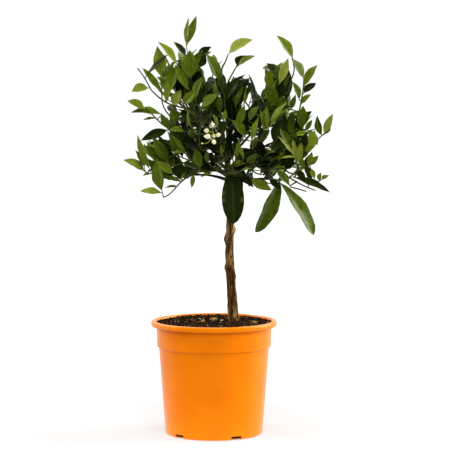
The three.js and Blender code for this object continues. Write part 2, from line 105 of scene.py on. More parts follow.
# %% A socket with arithmetic
class Wire:
    """A node tree's socket. Arithmetic adds Math nodes, and node() adds any other node."""

    def __init__(self, socket):
        self.socket = socket
        self.tree = socket.id_data

    def node(self, kind, settings=(), sockets=(), output=0):
        """A new node. Its settings are set first, then its sockets are given values or linked to wires."""
        made = self.tree.nodes.new(kind)
        for name, value in dict(settings).items():
            setattr(made, name, value)
        for name, value in dict(sockets).items():
            if isinstance(value, Wire):
                self.tree.links.new(value.socket, made.inputs[name])
            else:
                made.inputs[name].default_value = value
        return Wire(made.outputs[output])

    def into(self, socket):
        self.tree.links.new(self.socket, socket)

    def maths(self, operation, first, second=0.0):
        return self.node("ShaderNodeMath", {"operation": operation}, {0: first, 1: second})

    def between(self, first, second):
        """A colour from first to second, as this wire goes from 0 to 1."""
        return self.node("ShaderNodeMix", {"data_type": "RGBA"}, {0: self, 6: first, 7: second}, output=2)

    def stretched(self, factors):
        return self.node("ShaderNodeVectorMath", {"operation": "MULTIPLY"}, {0: self, 1: factors})

    def clouds(self, scale, detail=3.0):
        """Soft noise from 0 to 1 over this vector."""
        return self.node("ShaderNodeTexNoise", {}, {"Vector": self, "Scale": scale, "Detail": detail})

    def step(self, start, end):
        """0 below start, 1 above end, with a smooth passage between."""
        limits = {"Value": self, "From Min": start, "From Max": end}
        return self.node("ShaderNodeMapRange", {"interpolation_type": "SMOOTHSTEP"}, limits)

    def bump(self, strength, distance):
        return self.node("ShaderNodeBump", {}, {"Height": self, "Strength": strength, "Distance": distance})

    def __add__(self, other):
        return self.maths("ADD", self, other)

    def __sub__(self, other):
        return self.maths("SUBTRACT", self, other)

    def __rsub__(self, other):
        return self.maths("SUBTRACT", other, self)

    def __mul__(self, other):
        return self.maths("MULTIPLY", self, other)

    def __abs__(self):
        return self.maths("ABSOLUTE", self)

    __radd__ = __add__
    __rmul__ = __mul__


print("node helper ready:", len([name for name in vars(Wire) if not name.startswith("__")]), "methods")

# %% Tones and finishes
def tone(code):
    """The linear colour of a screen colour such as #f47a0c."""
    parts = [int(code[i : i + 2], 16) / 255 for i in (1, 3, 5)]
    return (*[p / 12.92 if p <= 0.04045 else ((p + 0.055) / 1.055) ** 2.4 for p in parts], 1.0)


def new_finish(name, constants):
    """A material with fixed values on the shader's own sockets, with that shader and Object coordinates."""
    material = bpy.data.materials.new(name)
    material.use_nodes = True
    nodes = material.node_tree.nodes
    shader = nodes["Principled BSDF"]
    for socket, value in constants.items():
        shader.inputs[socket].default_value = value
    return material, shader, Wire(nodes.new("ShaderNodeTexCoord").outputs["Object"])


print("a middle grey in linear light:", round(tone("#808080")[0], 3))

# %% [markdown]
# ## Studio
# The background is paper white, and soft light comes from both sides, from above and from the front: the pot
# is palest along its two edges, and the middle of the crown is nearly black. Large, slightly warm area
# lights give that. The front and top boxes leave no reflection of themselves, and a white backdrop stands
# only behind the tree, under a dim ceiling, so that no grey glints lie on the dark leaves. The tree stands
# on a lit table: a pool of glow round the pot brightens its foot, and the paper is white to the camera.

# %% Lights
STUDIO_AIM = Vector((0.02, 0.0, 0.36))
SOFT_BOXES = {
    "left_box": {"place": Vector((-2.2, 0.3, 1.2)), "size": 1.8, "watts": 46, "shines": True},
    "right_box": {"place": Vector((2.2, 0.4, 1.1)), "size": 2.0, "watts": 88, "shines": True},
    "front_box": {"place": Vector((0.6, -2.6, 1.6)), "size": 2.0, "watts": 67, "shines": False},
    "top_box": {"place": Vector((-0.2, -0.7, 2.6)), "size": 1.4, "watts": 46, "shines": False},
}
LIGHT_TINT = (1.0, 0.98, 0.86)


def soft_box(name, place, size, watts, shines):
    """An area light. One that does not shine lights surfaces but leaves no reflection of itself on them."""
    light = bpy.data.lights.new(name, "AREA")
    light.size = size
    light.energy = watts
    light.color = LIGHT_TINT
    box = aimed(bpy.data.objects.new(name, light), place, STUDIO_AIM)
    box.visible_glossy = shines


for name, box in SOFT_BOXES.items():
    soft_box(name, **box)
print(len(SOFT_BOXES), "soft boxes of", sum(box["watts"] for box in SOFT_BOXES.values()), "watts")

# %% Backdrop
BACKDROP_LIGHT = 1.0
FRONT_LIGHT = 0.06
BACKDROP_FROM = -0.4
BACKDROP_TO = 0.5
CEILING_DIM = 0.75
CEILING_FROM = 0.3
CEILING_TO = 0.8
BACKDROP_SEEN = 1.02
WHITE = (1.0, 1.0, 1.0, 1.0)

world = bpy.data.worlds.new("studio")
world.use_nodes = True
scene.world = world
background = world.node_tree.nodes["Background"]
way_out = Wire(world.node_tree.nodes.new("ShaderNodeTexCoord").outputs["Generated"])
back, height = (
    way_out.node("ShaderNodeSeparateXYZ", {}, {"Vector": way_out}, output=axis) for axis in ("Y", "Z")
)
wall = back.step(BACKDROP_FROM, BACKDROP_TO) * (1 - height.step(CEILING_FROM, CEILING_TO) * CEILING_DIM)
room_light = FRONT_LIGHT + wall * (BACKDROP_LIGHT - FRONT_LIGHT)
seen = way_out.node("ShaderNodeLightPath", output="Is Camera Ray")
seen.between((*LIGHT_TINT, 1.0), WHITE).into(background.inputs["Color"])
(seen * BACKDROP_SEEN + (1 - seen) * room_light).into(background.inputs["Strength"])
print("backdrop:", world.name, len(world.node_tree.nodes), "nodes")

# %% Floor
FLOOR_SIDE = 24.0
POOL_GLOW = 1.0
POOL_FROM = 0.09
POOL_TO = 0.25
NEAR_SEEN = 0.5
FAR_SEEN = 1.0
FAR_FROM = 0.3
FAR_TO = 1.6
PAPER_TONES = (tone("#95969f"), tone("#9899a2"))
PAPER_CLOUDS = 0.6

paper, paper_shader, paper_place = new_finish(
    "studio_paper",
    {"Roughness": 0.95, "Specular IOR Level": 0.1, "Emission Strength": 1.0},
)
paper_place.clouds(PAPER_CLOUDS).between(*PAPER_TONES).into(paper_shader.inputs["Base Color"])
from_pot = paper_place.node("ShaderNodeVectorMath", {"operation": "LENGTH"}, {0: paper_place}, output="Value")
pool = (1 - from_pot.step(POOL_FROM, POOL_TO)) * POOL_GLOW
to_lens = paper_place.node("ShaderNodeLightPath", output="Is Camera Ray")
to_walls = paper_place.node("ShaderNodeLightPath", output="Is Diffuse Ray")
paper_seen = NEAR_SEEN + from_pot.step(FAR_FROM, FAR_TO) * (FAR_SEEN - NEAR_SEEN)
(to_lens * paper_seen + to_walls * pool).into(paper_shader.inputs["Emission Color"])
floor_mesh = bpy.data.meshes.new("floor")
half_side = FLOOR_SIDE / 2
floor_corners = [(x * half_side, y * half_side, 0.0) for x, y in ((-1, -1), (1, -1), (1, 1), (-1, 1))]
floor_mesh.from_pydata(floor_corners, [], [(0, 1, 2, 3)])
floor_mesh.materials.append(paper)
floor = bpy.data.objects.new("floor", floor_mesh)
floor.visible_glossy = False
scene.collection.objects.link(floor)
print("floor", FLOOR_SIDE, "m wide")

# %% [markdown]
# ## Skins through rings
# The pot, the soil and the limbs are all rings of points with a skin over them. One helper makes the
# faces between neighbouring rings, and another turns points in millimetres into a finished piece that
# rides on the plant. Points that meet, as on an axis, are merged so that every pole is closed.

# %% Skins and pieces
MERGE_GAP = 0.01


def ring_faces(rings, sides, first=0):
    """Quads between rings of the same number of points, numbered from `first`."""
    faces = []
    for r in range(rings - 1):
        low = first + r * sides
        for k in range(sides):
            after = (k + 1) % sides
            faces.append((low + k, low + after, low + sides + after, low + sides + k))
    return faces


def turned(profile, segments):
    """Points of a profile of (radius, height) pairs turned round the Z axis, ring by ring."""
    angles = np.linspace(0, 2 * math.pi, segments, endpoint=False)
    radii, heights = np.array(profile, float).T
    x = np.outer(radii, np.cos(angles))
    y = np.outer(radii, np.sin(angles))
    z = np.repeat(heights[:, None], segments, axis=1)
    return np.stack((x, y, z), axis=-1)


def new_mesh(name, points, faces, merge=0.0):
    """A mesh from points in millimetres. Points closer than `merge` become one."""
    mesh = bpy.data.meshes.new(name)
    mesh.from_pydata((np.reshape(points, (-1, 3)) * MM).tolist(), [], faces)
    if merge:
        shell = bmesh.new()
        shell.from_mesh(mesh)
        bmesh.ops.remove_doubles(shell, verts=shell.verts, dist=merge * MM)
        bmesh.ops.recalc_face_normals(shell, faces=shell.faces)
        shell.to_mesh(mesh)
        shell.free()
    return mesh


def ring_mesh(name, rings):
    """A mesh over rings of points, closed where points meet."""
    return new_mesh(name, rings, ring_faces(*rings.shape[:2]), merge=MERGE_GAP)


def dress(mesh, replaced=(), crease=None):
    """The finished piece: smooth, with edges sharper than `crease` degrees kept, riding on the plant."""
    mesh.shade_smooth()
    if crease is not None:
        mesh.set_sharp_from_angle(angle=math.radians(crease))
    piece = bpy.data.objects.new(mesh.name, mesh)
    scene.collection.objects.link(piece)
    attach(piece, "root")
    if replaced:
        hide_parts(*replaced)
    print(piece.name, sum(len(p.vertices) - 2 for p in mesh.polygons), "triangles")


print("a skin over two rings of eight points has", len(ring_faces(2, 8)), "faces")

# %% [markdown]
# ## Pot finish
# The pot is moulded plastic: satin, evenly orange, with faint rings left by the mould and a little dulling
# where it has been handled. Real plastic never has one flat roughness, so a soft cloud varies it, and a
# cloud squeezed along Z gives the mould's rings as a shallow bump. Its glints are tinted a warm yellow.

# %% Pot finish
POT_ORANGE = tone("#ec7c04")
POT_DEEP = tone("#e67403")
POT_GLINT = tone("#ffe0a0")
HANDLED_CLOUDS = 22.0
HANDLED_RANGE = (0.3, 0.75)
LEAST_ROUGHNESS = 0.17
ROUGHNESS_SPAN = 0.1
MOULD_RINGS = (6.0, 6.0, 700.0)
MOULD_STRENGTH = 0.1
MOULD_DEPTH = 0.4 * MM

satin = {"Specular IOR Level": 0.4, "Specular Tint": POT_GLINT}
pot_finish, pot_shader, pot_place = new_finish("orange_plastic", satin)
handled = pot_place.clouds(HANDLED_CLOUDS, detail=5.0)
handled.step(*HANDLED_RANGE).between(POT_ORANGE, POT_DEEP).into(pot_shader.inputs["Base Color"])
(LEAST_ROUGHNESS + handled * ROUGHNESS_SPAN).into(pot_shader.inputs["Roughness"])
mould = pot_place.stretched(MOULD_RINGS).clouds(1.0, detail=2.0)
mould.bump(MOULD_STRENGTH, MOULD_DEPTH).into(pot_shader.inputs["Normal"])
print("finish:", pot_finish.name)

# %% [markdown]
# ## Pot
# A nursery pot has a rolled lip, a collar under it, a small step and a tapered body with drain notches
# round its foot. It is one wall turned round an axis, so a profile of (radius, height) points makes it,
# with arcs for the round stretches. A boolean then cuts the notches. Subdivision would round the step
# too far, so the arcs carry their own points.

# %% Pot wall
RIM_RADIUS = 100.0
POT_HEIGHT = 180.0
LIP_HEIGHT = 8.5
LIP_WIDTH = 8.0
LIP_ROUND = 2.6
LIP_INNER_ROUND = 1.6
COLLAR_TOP_RADIUS = 91.6
COLLAR_FOOT_RADIUS = 90.4
COLLAR_FOOT_Z = 139.0
STEP_HEIGHT = 2.0
STEP_ROUND = 0.8
BODY_TOP_RADIUS = 87.6
BODY_FOOT_RADIUS = 77.4
FOOT_ROUND = 3.6
WALL = 2.0
BASE_THICKNESS = 2.6
BASE_STEPS = 4
BODY_STEPS = 9
COLLAR_STEPS = 5
SMALL_ARC_STEPS = 4
POT_SEGMENTS = 160


def lerp(start, end, share):
    return (1 - share) * start + share * end


def arc(centre, radius, start, end, steps=6):
    """Points on an arc of a profile, from one angle to another in degrees."""
    angles = np.radians(np.linspace(start, end, steps + 1))
    return [(centre[0] + radius * math.cos(a), centre[1] + radius * math.sin(a)) for a in angles]


def straight(start, end, steps):
    """Points along a straight stretch of a profile, without its two ends."""
    return [tuple(lerp(np.array(start), np.array(end), i / steps)) for i in range(1, steps)]


def body_radius(z):
    return lerp(BODY_FOOT_RADIUS, BODY_TOP_RADIUS, z / COLLAR_FOOT_Z)


def collar_radius(z):
    return lerp(COLLAR_FOOT_RADIUS, COLLAR_TOP_RADIUS, (z - COLLAR_FOOT_Z) / (POT_HEIGHT - COLLAR_FOOT_Z))


def inner_radius(z):
    return (body_radius(z) if z < COLLAR_FOOT_Z - STEP_HEIGHT else collar_radius(z)) - WALL


def pot_profile():
    """The wall's outline, from the middle of the underside out, up, over the lip and down the inside."""
    lip_foot = POT_HEIGHT - LIP_HEIGHT
    step_foot = COLLAR_FOOT_Z - STEP_HEIGHT
    lip_middle = RIM_RADIUS - LIP_ROUND
    inner_edge = RIM_RADIUS - LIP_WIDTH + LIP_INNER_ROUND
    foot = (BODY_FOOT_RADIUS, FOOT_ROUND)
    shoulder = (body_radius(step_foot), step_foot)
    step_middle = (COLLAR_FOOT_RADIUS - STEP_ROUND, COLLAR_FOOT_Z + STEP_ROUND)
    return [
        (0.0, 0.0),
        *straight((0.0, 0.0), (BODY_FOOT_RADIUS, 0.0), BASE_STEPS),
        *arc((BODY_FOOT_RADIUS - FOOT_ROUND, FOOT_ROUND), FOOT_ROUND, -90, 0),
        *straight(foot, shoulder, BODY_STEPS),
        shoulder,
        *arc(step_middle, STEP_ROUND, -80, 0, SMALL_ARC_STEPS),
        *straight((COLLAR_FOOT_RADIUS, COLLAR_FOOT_Z), (COLLAR_TOP_RADIUS, lip_foot), COLLAR_STEPS),
        (collar_radius(lip_foot), lip_foot + STEP_ROUND),
        *arc((lip_middle, lip_foot + LIP_ROUND), LIP_ROUND, -90, 0),
        *arc((lip_middle, POT_HEIGHT - LIP_ROUND), LIP_ROUND, 0, 90),
        *arc((inner_edge, POT_HEIGHT - LIP_INNER_ROUND), LIP_INNER_ROUND, 90, 180, SMALL_ARC_STEPS),
        (inner_radius(lip_foot), lip_foot),
        (inner_radius(COLLAR_FOOT_Z), COLLAR_FOOT_Z),
        (inner_radius(step_foot - STEP_ROUND), step_foot - STEP_ROUND),
        (inner_radius(BASE_THICKNESS), BASE_THICKNESS),
        (0.0, BASE_THICKNESS),
    ]


pot_shell = ring_mesh("pot_shell", turned(pot_profile(), POT_SEGMENTS))
print("pot wall:", len(pot_shell.vertices), "points")

# %% Drain notches
NOTCH_COUNT = 5
NOTCH_WIDTH = 18.0
NOTCH_HEIGHT = 6.0
NOTCH_DEPTH = 16.0
NOTCH_FIRST = 27.4
POT_CREASE = 34


def notch_cutters():
    """One box for each drain notch, standing out of the foot."""
    corners = np.array([(x, y, z) for x in (-1, 1) for y in (-1, 1) for z in (-1, 1)], float)
    corners *= (NOTCH_WIDTH / 2, NOTCH_DEPTH / 2, NOTCH_HEIGHT)
    corners[:, 1] -= BODY_FOOT_RADIUS
    box = [(0, 1, 3, 2), (4, 6, 7, 5), (0, 4, 5, 1), (2, 3, 7, 6), (0, 2, 6, 4), (1, 5, 7, 3)]
    points, faces = [], []
    for i in range(NOTCH_COUNT):
        turn = math.radians(NOTCH_FIRST + 360 / NOTCH_COUNT * i)
        cosine, sine = math.cos(turn), math.sin(turn)
        spin = np.array([(cosine, -sine, 0), (sine, cosine, 0), (0, 0, 1)])
        faces += [tuple(8 * i + k for k in face) for face in box]
        points += list(corners @ spin.T)
    return new_mesh("notch_cutters", points, faces)


def evaluated_mesh(thing):
    """The plain mesh that an object's modifiers make."""
    return bpy.data.meshes.new_from_object(thing.evaluated_get(bpy.context.evaluated_depsgraph_get()))


def cut(mesh, cutters):
    """The mesh less the cutters, by a Boolean modifier that is made plain again."""
    body, tool = bpy.data.objects.new("body", mesh), bpy.data.objects.new("tool", cutters)
    for thing in (body, tool):
        scene.collection.objects.link(thing)
    modifier = body.modifiers.new("notches", "BOOLEAN")
    modifier.object = tool
    modifier.solver = "EXACT"
    made = evaluated_mesh(body)
    bpy.data.objects.remove(body)
    bpy.data.objects.remove(tool)
    return made


pot_mesh = cut(pot_shell, notch_cutters())
pot_mesh.name = "pot_wall"
pot_mesh.materials.clear()
pot_mesh.materials.append(pot_finish)
dress(pot_mesh, ["pot"], crease=POT_CREASE)

# %% [markdown]
# ## Soil finish
# Potting compost is peat and bark: nearly black between the crumbs, brown on top of them, with pale pumice
# and wood. The bed between the crumbs is damp peat, and its near-black tone also holds painted shade for the
# gaps. Each kind of bit gets its own plain material, and a cloud moves its colour about.

# %% Soil finishes
CRUMB_RANGE = (0.35, 0.68)
CRUMB_STRENGTH = 0.7
CRUMB_DEPTH = 1.2 * MM


def crumbly(name, dark, light, size, roughness=0.95):
    material, shader, place = new_finish(name, {"Roughness": roughness, "Specular IOR Level": 0.1})
    grain = place.clouds(1 / size, detail=6.0)
    grain.step(*CRUMB_RANGE).between(tone(dark), tone(light)).into(shader.inputs["Base Color"])
    grain.bump(CRUMB_STRENGTH, CRUMB_DEPTH).into(shader.inputs["Normal"])
    return material


# The bed's near-black tones are partly painted shade for the gaps between the crumbs.
peat = crumbly("peat", "#080402", "#20140b", 0.006)
dark_finish = crumbly("dark_crumbs", "#0e0805", "#2e1d10", 0.005)
crumb_finish = crumbly("brown_crumbs", "#2a1a0e", "#6a4d31", 0.005)
chip_finish = crumbly("bark_chips", "#553b22", "#9a774c", 0.004, roughness=0.85)
pumice_finish = crumbly("pumice", "#b79a66", "#eee2bf", 0.004, roughness=0.9)
lump_finish = crumbly("wood_lumps", "#7d6136", "#cfb680", 0.004, roughness=0.9)
soil_finishes = (peat, dark_finish, crumb_finish, chip_finish, pumice_finish, lump_finish)
print("finishes:", *(finish.name for finish in soil_finishes))

# %% [markdown]
# ## Soil bed
# The compost fills the pot to just under its lip, lumpy and a little lower along the wall. A disc of
# rings with fractal noise for its height gives the lumps. The sides and the bottom close it, since the
# drain notches show a little of it.

# %% Soil bed
SOIL_TOP = 178.0
SOIL_EDGE_DROP = 2.0
SOIL_LEVEL_RADIUS = 70.0
SOIL_CLEARANCE = 0.4
SOIL_SEGMENTS = 140
SOIL_RINGS = 60
LUMP_HEIGHT = 2.6
LUMP_SIZE = 15.0
FINE_LUMP_HEIGHT = 1.1
FINE_LUMP_SIZE = 4.5
FINE_LUMP_SHIFT = 50
EDGE_CALM = 0.6
UNDER_STEP = 1


def rough(points, size, octaves=3):
    """Fractal noise, about -1 to 1, at each point in millimetres, with features `size` across."""
    return np.array([noise.fractal(p, 1.0, 2.0, octaves) for p in np.reshape(points, (-1, 3)) / size])


def soil_height(points):
    """Height of the soil's surface over each point."""
    radius = np.linalg.norm(points[:, :2], axis=1)
    edge = np.clip((radius - SOIL_LEVEL_RADIUS) / (inner_radius(SOIL_TOP) - SOIL_LEVEL_RADIUS), 0, 1)
    flat = np.column_stack((points[:, :2], np.zeros(len(points))))
    lumps = LUMP_HEIGHT * rough(flat, LUMP_SIZE)
    lumps += FINE_LUMP_HEIGHT * rough(flat + FINE_LUMP_SHIFT, FINE_LUMP_SIZE)
    return SOIL_TOP - SOIL_EDGE_DROP * edge**2 + lumps * (1 - EDGE_CALM * edge)


def soil_surface():
    reach = inner_radius(SOIL_TOP - SOIL_EDGE_DROP) - SOIL_CLEARANCE
    points = turned([(reach * (1 - i / SOIL_RINGS), SOIL_TOP) for i in range(SOIL_RINGS + 1)], SOIL_SEGMENTS)
    points[..., 2] = soil_height(points.reshape(-1, 3)).reshape(points.shape[:2])
    points[-1] = points[-1].mean(axis=0)
    return points


soil_top = soil_surface()
step_foot_z = COLLAR_FOOT_Z - STEP_HEIGHT
soil_foot = turned(
    [
        (0.0, BASE_THICKNESS + SOIL_CLEARANCE),
        (inner_radius(BASE_THICKNESS) - SOIL_CLEARANCE, BASE_THICKNESS + SOIL_CLEARANCE),
        (inner_radius(step_foot_z - UNDER_STEP) - SOIL_CLEARANCE, step_foot_z),
    ],
    SOIL_SEGMENTS,
)
soil_mesh = ring_mesh("soil_bed", np.concatenate((soil_foot, soil_top)))
soil_mesh.materials.append(peat)
dress(soil_mesh, ["soil"])

# %% [markdown]
# ## Crumbs, chips and pumice
# Thousands of small bits lie on the compost. Geometry Nodes scatter them: points over the surface, a
# small faceted ball on each, turned and stretched at random, then pushed about by noise so that no two
# are alike. One tree with named inputs makes the crumbs, the bark chips and the pumice in turn.

# %% Making and running a tree
def new_tree(name, inputs):
    """A Geometry Nodes tree with named inputs, with its input wires by name and its output socket."""
    tree = bpy.data.node_groups.new(name, "GeometryNodeTree")
    tree.interface.new_socket("Geometry", in_out="INPUT", socket_type="NodeSocketGeometry")
    for title, kind in inputs.items():
        tree.interface.new_socket(title, in_out="INPUT", socket_type="NodeSocket" + kind)
    tree.interface.new_socket("Geometry", in_out="OUTPUT", socket_type="NodeSocketGeometry")
    start = tree.nodes.new("NodeGroupInput")
    end = tree.nodes.new("NodeGroupOutput")
    return tree, {socket.name: Wire(socket) for socket in start.outputs if socket.name}, end.inputs[0]


def finished(wires, geometry, smooth):
    """The end of every tree: instances made real, shading set, then the material."""
    real = geometry.node("GeometryNodeRealizeInstances", {}, {"Geometry": geometry})
    shaded = real.node("GeometryNodeSetShadeSmooth", {}, {"Geometry": real, "Shade Smooth": smooth})
    return shaded.node("GeometryNodeSetMaterial", {}, {"Geometry": shaded, "Material": wires["Material"]})


def run_tree(name, tree, carrier_mesh, values):
    """The plain mesh that a tree makes of a carrier mesh, with its inputs set by identifier."""
    carrier = bpy.data.objects.new("carrier", carrier_mesh)
    scene.collection.objects.link(carrier)
    modifier = carrier.modifiers.new(tree.name, "NODES")
    modifier.node_group = tree
    for item in tree.interface.items_tree:
        if item.in_out == "INPUT" and item.name in values:
            modifier[item.identifier] = values[item.name]
    made = evaluated_mesh(carrier)
    carrier.modifiers.remove(modifier)
    bpy.data.objects.remove(carrier)
    made.name = name
    return made


print("helpers ready:", new_tree.__name__, finished.__name__, run_tree.__name__)

# %% A tree that scatters bits
SIZE_SEED = 7
CRUMPLE_SCALE = 420.0


def scatter_tree():
    inputs = {"Density": "Float", "Least": "Vector", "Most": "Vector", "Crumple": "Float"}
    tree, wires, end = new_tree("scattered_bits", {**inputs, "Seed": "Int", "Material": "Material"})
    ground = wires["Geometry"]
    spread = {"Mesh": ground, "Density": wires["Density"], "Seed": wires["Seed"]}
    points = ground.node("GeometryNodeDistributePointsOnFaces", {}, spread)
    ball = ground.node("GeometryNodeMeshIcoSphere", {}, {"Radius": 1.0, "Subdivisions": 1})
    vectors = {"data_type": "FLOAT_VECTOR"}
    any_turn = {0: (0.0, 0.0, 0.0), 1: (2 * math.pi,) * 3, "Seed": wires["Seed"]}
    turns = ground.node("FunctionNodeRandomValue", vectors, any_turn)
    any_size = {0: wires["Least"], 1: wires["Most"], "Seed": SIZE_SEED}
    sizes = ground.node("FunctionNodeRandomValue", vectors, any_size)
    placed = {"Points": points, "Instance": ball, "Rotation": turns, "Scale": sizes}
    bits = ground.node("GeometryNodeInstanceOnPoints", {}, placed)
    real = ground.node("GeometryNodeRealizeInstances", {}, {"Geometry": bits})
    crumple = ground.node("ShaderNodeTexNoise", {}, {"Scale": CRUMPLE_SCALE, "Detail": 2.0}, output="Color")
    minus, times = {"operation": "SUBTRACT"}, {"operation": "SCALE"}
    centred = ground.node("ShaderNodeVectorMath", minus, {0: crumple, 1: (0.5, 0.5, 0.5)})
    push = ground.node("ShaderNodeVectorMath", times, {0: centred, "Scale": wires["Crumple"]})
    moved = ground.node("GeometryNodeSetPosition", {}, {"Geometry": real, "Offset": push})
    finished(wires, moved, smooth=False).into(end)
    return tree


bit_scatter = scatter_tree()
print("tree:", bit_scatter.name, len(bit_scatter.nodes), "nodes")

# %% [markdown]
# ## What lies on the soil
# The bits come in four sorts. A row states each sort's name, its number to the square metre, its least and
# most sizes, how far noise pushes it about, its seed and its finish. Four pale lumps of wood catch the
# eye on this pot, so they are placed one by one: balls that are squeezed, roughened and sunk into the soil.

# %% Scatter the bits
SCATTERS = [
    ("soil_dark_crumbs", 62000, (0.7, 0.7, 0.6), (3.4, 3.0, 2.4), 2.6, 3, dark_finish),
    ("soil_crumbs", 24000, (0.6, 0.6, 0.5), (2.8, 2.5, 2.0), 2.4, 5, crumb_finish),
    ("soil_chips", 3400, (0.5, 0.7, 2.2), (1.1, 1.8, 5.4), 1.6, 11, chip_finish),
    ("soil_pumice", 1500, (0.6, 0.6, 0.6), (1.8, 1.7, 1.5), 1.4, 29, pumice_finish),
]
PALE_LUMPS = [(0, 6, 6.5, 4.5), (12.7, -6.8, 3.6, 3.4), (-17.4, -6.8, 3.0, 4.2), (64, -19.7, 4.4, 3.4)]
LUMP_FLATNESS = 0.7
LUMP_ROUGHNESS = 0.3
LUMP_GRAIN = 0.8
BIT_CREASE = 30
LUMP_CREASE = 35


def scattered(name, density, least, most, crumple, seed, finish):
    surface = ring_mesh("soil_surface", soil_top)
    values = {
        "Density": float(density),
        "Least": [size * MM for size in least],
        "Most": [size * MM for size in most],
        "Crumple": crumple * MM,
        "Seed": seed,
        "Material": finish,
    }
    dress(run_tree(name, bit_scatter, surface, values), crease=BIT_CREASE)


def lump_mesh():
    """Pale lumps of wood at stated places."""
    ball = bmesh.new()
    bmesh.ops.create_icosphere(ball, subdivisions=2, radius=1.0)
    around = np.array([vertex.co for vertex in ball.verts])
    skin = [tuple(vertex.index for vertex in face.verts) for face in ball.faces]
    ball.free()
    points, faces = [], []
    for x, y, half_x, half_y in PALE_LUMPS:
        foot = np.array((x, y, soil_height(np.array([(x, y, 0.0)]))[0]))
        uneven = 1 + LUMP_ROUGHNESS * rough(around + x, LUMP_GRAIN)
        sizes = (half_x, half_y, half_y * LUMP_FLATNESS)
        faces += [tuple(corner + len(points) for corner in face) for face in skin]
        points += list(foot + (0, 0, half_y / 2) + around * sizes * uneven[:, None])
    mesh = new_mesh("soil_lumps", points, faces)
    mesh.materials.append(lump_finish)
    return mesh


for row in SCATTERS:
    scattered(*row)
dress(lump_mesh(), crease=LUMP_CREASE)

# %% [markdown]
# ## The rule of growth
# The crown grows by the same seeded rule as its solids. Limbs leave the trunk and climb to a tip of their
# own. Shoots leave a limb in a spiral, and leaves leave the shoots the same way. A twig or a leaf that
# would leave the space nearest to its own limb is skipped. With the same seed the same tree grows again,
# so every mass of leaves stands where its solid is. Distances here are in millimetres.

# %% Random draws
WORD = 0xFFFFFFFF
SEED_STEP = 0x6D2B79F5


def seeded(seed):
    """A function that draws an even random number between two values."""
    state = seed

    def draw(low, high):
        nonlocal state
        state = (state + SEED_STEP) & WORD
        mixed = ((state ^ (state >> 15)) * (state | 1)) & WORD
        mixed ^= (mixed + (((mixed ^ (mixed >> 7)) * (mixed | 61)) & WORD)) & WORD
        return low + (high - low) * (mixed ^ (mixed >> 14)) / (WORD + 1)

    return draw


print("first draws of seed 1:", [round(draw, 3) for draw in map(seeded(1), (0, 0, 0), (1, 1, 1))])

# %% Directions and curves
SIDE_HINT = np.array((0.3, 0.1, 1.0))


def unit(vector):
    return vector / np.linalg.norm(vector)


def heading(azimuth, climb):
    a, c = math.radians(azimuth), math.radians(climb)
    return np.array((math.cos(a) * math.cos(c), math.sin(a) * math.cos(c), math.sin(c)))


def square_to(vector, direction):
    return unit(vector - direction * np.dot(vector, direction))


def spun(vector, axis, degrees):
    a = math.radians(degrees)
    along = axis * np.dot(axis, vector)
    return vector * math.cos(a) + np.cross(axis, vector) * math.sin(a) + along * (1 - math.cos(a))


def branching(along, turn, spread):
    """A direction that leaves the line `along` at an angle, at a turn round it."""
    out = spun(unit(np.cross(along, SIDE_HINT)), along, turn)
    return along * math.cos(math.radians(spread)) + out * math.sin(math.radians(spread))


class Bezier:
    """A curve through control points, from 0 to 1."""

    def __init__(self, *points):
        self.points = np.array(points, float)

    def at(self, t):
        points = self.points
        while len(points) > 1:
            points = points[:-1] * (1 - t) + points[1:] * t
        return points[0]

    def along(self, t, step=1e-4):
        return unit(self.at(min(t + step, 1)) - self.at(max(t - step, 0)))

    def line(self, steps, start=0.0, end=1.0):
        return np.array([self.at(lerp(start, end, i / steps)) for i in range(steps + 1)])


class Spline(Bezier):
    """A smooth curve that passes through its points."""

    def at(self, t):
        count = len(self.points) - 1
        k = min(int(t * count), count - 1)
        u = t * count - k
        first, start, end, last = (self.points[min(max(k + i, 0), count)] for i in (-1, 0, 1, 2))
        bend = 2 * first - 5 * start + 4 * end - last
        turn = 3 * (start - end) + last - first
        return start + 0.5 * u * (end - first + u * (bend + u * turn))


print("half way along a bend:", Bezier((0, 0), (1, 0), (1, 1)).at(0.5))

# %% [markdown]
# ## Trunk line and limbs
# The trunk leaves the soil right of the pot's middle, leans in over its foot and wanders a little on its
# way to the fork. Each limb is one cubic curve: where it leaves the trunk, how it sets out, how it
# arrives and where it ends. Seventeen short rows describe the whole crown.

# %% Trunk line and limbs
TRUNK_X = 26.0
TRUNK_TOP = 446.0
FOOT_SHIFT = 6.0
FOOT_FADE = 26.0
FORK_LEAN = -4.0
WANDER = 1.3
WANDER_WAVE = 150.0
TRUNK_STEPS = 26
LIMB_FACTS = ("azimuth", "reach", "top", "foot", "rise", "lift", "shoots", "seed")
LIMB_ROWS = {
    "low_left": (187, 100, 402, 402, 22, -16, 6, 44),
    "mid_left": (210, 100, 450, 412, 30, 35, 5, 27),
    "left": (178, 110, 522, 418, 42, 58, 6, 40),
    "high_left": (166, 88, 575, 428, 54, 76, 6, 20),
    "leader_left": (200, 62, 622, 436, 64, 86, 4, 43),
    "top": (320, 20, 570, 446, 85, 75, 5, 32),
    "high_right": (10, 96, 555, 432, 52, 66, 6, 3),
    "right": (352, 130, 500, 420, 38, 42, 6, 17),
    "low_right": (354, 126, 400, 400, 10, -6, 6, 65),
    "mid_right": (328, 106, 450, 414, 30, 35, 5, 71),
    "front_left": (242, 84, 505, 426, 48, 55, 5, 57),
    "front_right": (298, 84, 500, 430, 48, 55, 5, 48),
    "front_low": (270, 86, 432, 406, 18, 5, 5, 3),
    "back_left": (125, 104, 535, 430, 45, 58, 6, 24),
    "back_right": (58, 104, 535, 434, 45, 58, 6, 56),
    "back_low_left": (135, 110, 432, 408, 22, 10, 5, 21),
    "back_low_right": (45, 112, 432, 410, 22, 10, 5, 23),
}
LIMBS = {name: dict(zip(LIMB_FACTS, row)) for name, row in LIMB_ROWS.items()}
TRUNK_MASS = "top"
BOUGH_SHARE = 0.33
BOUGH_STEPS = 4
LIMB_STEPS = 24
LEAVE_PULL = 0.4
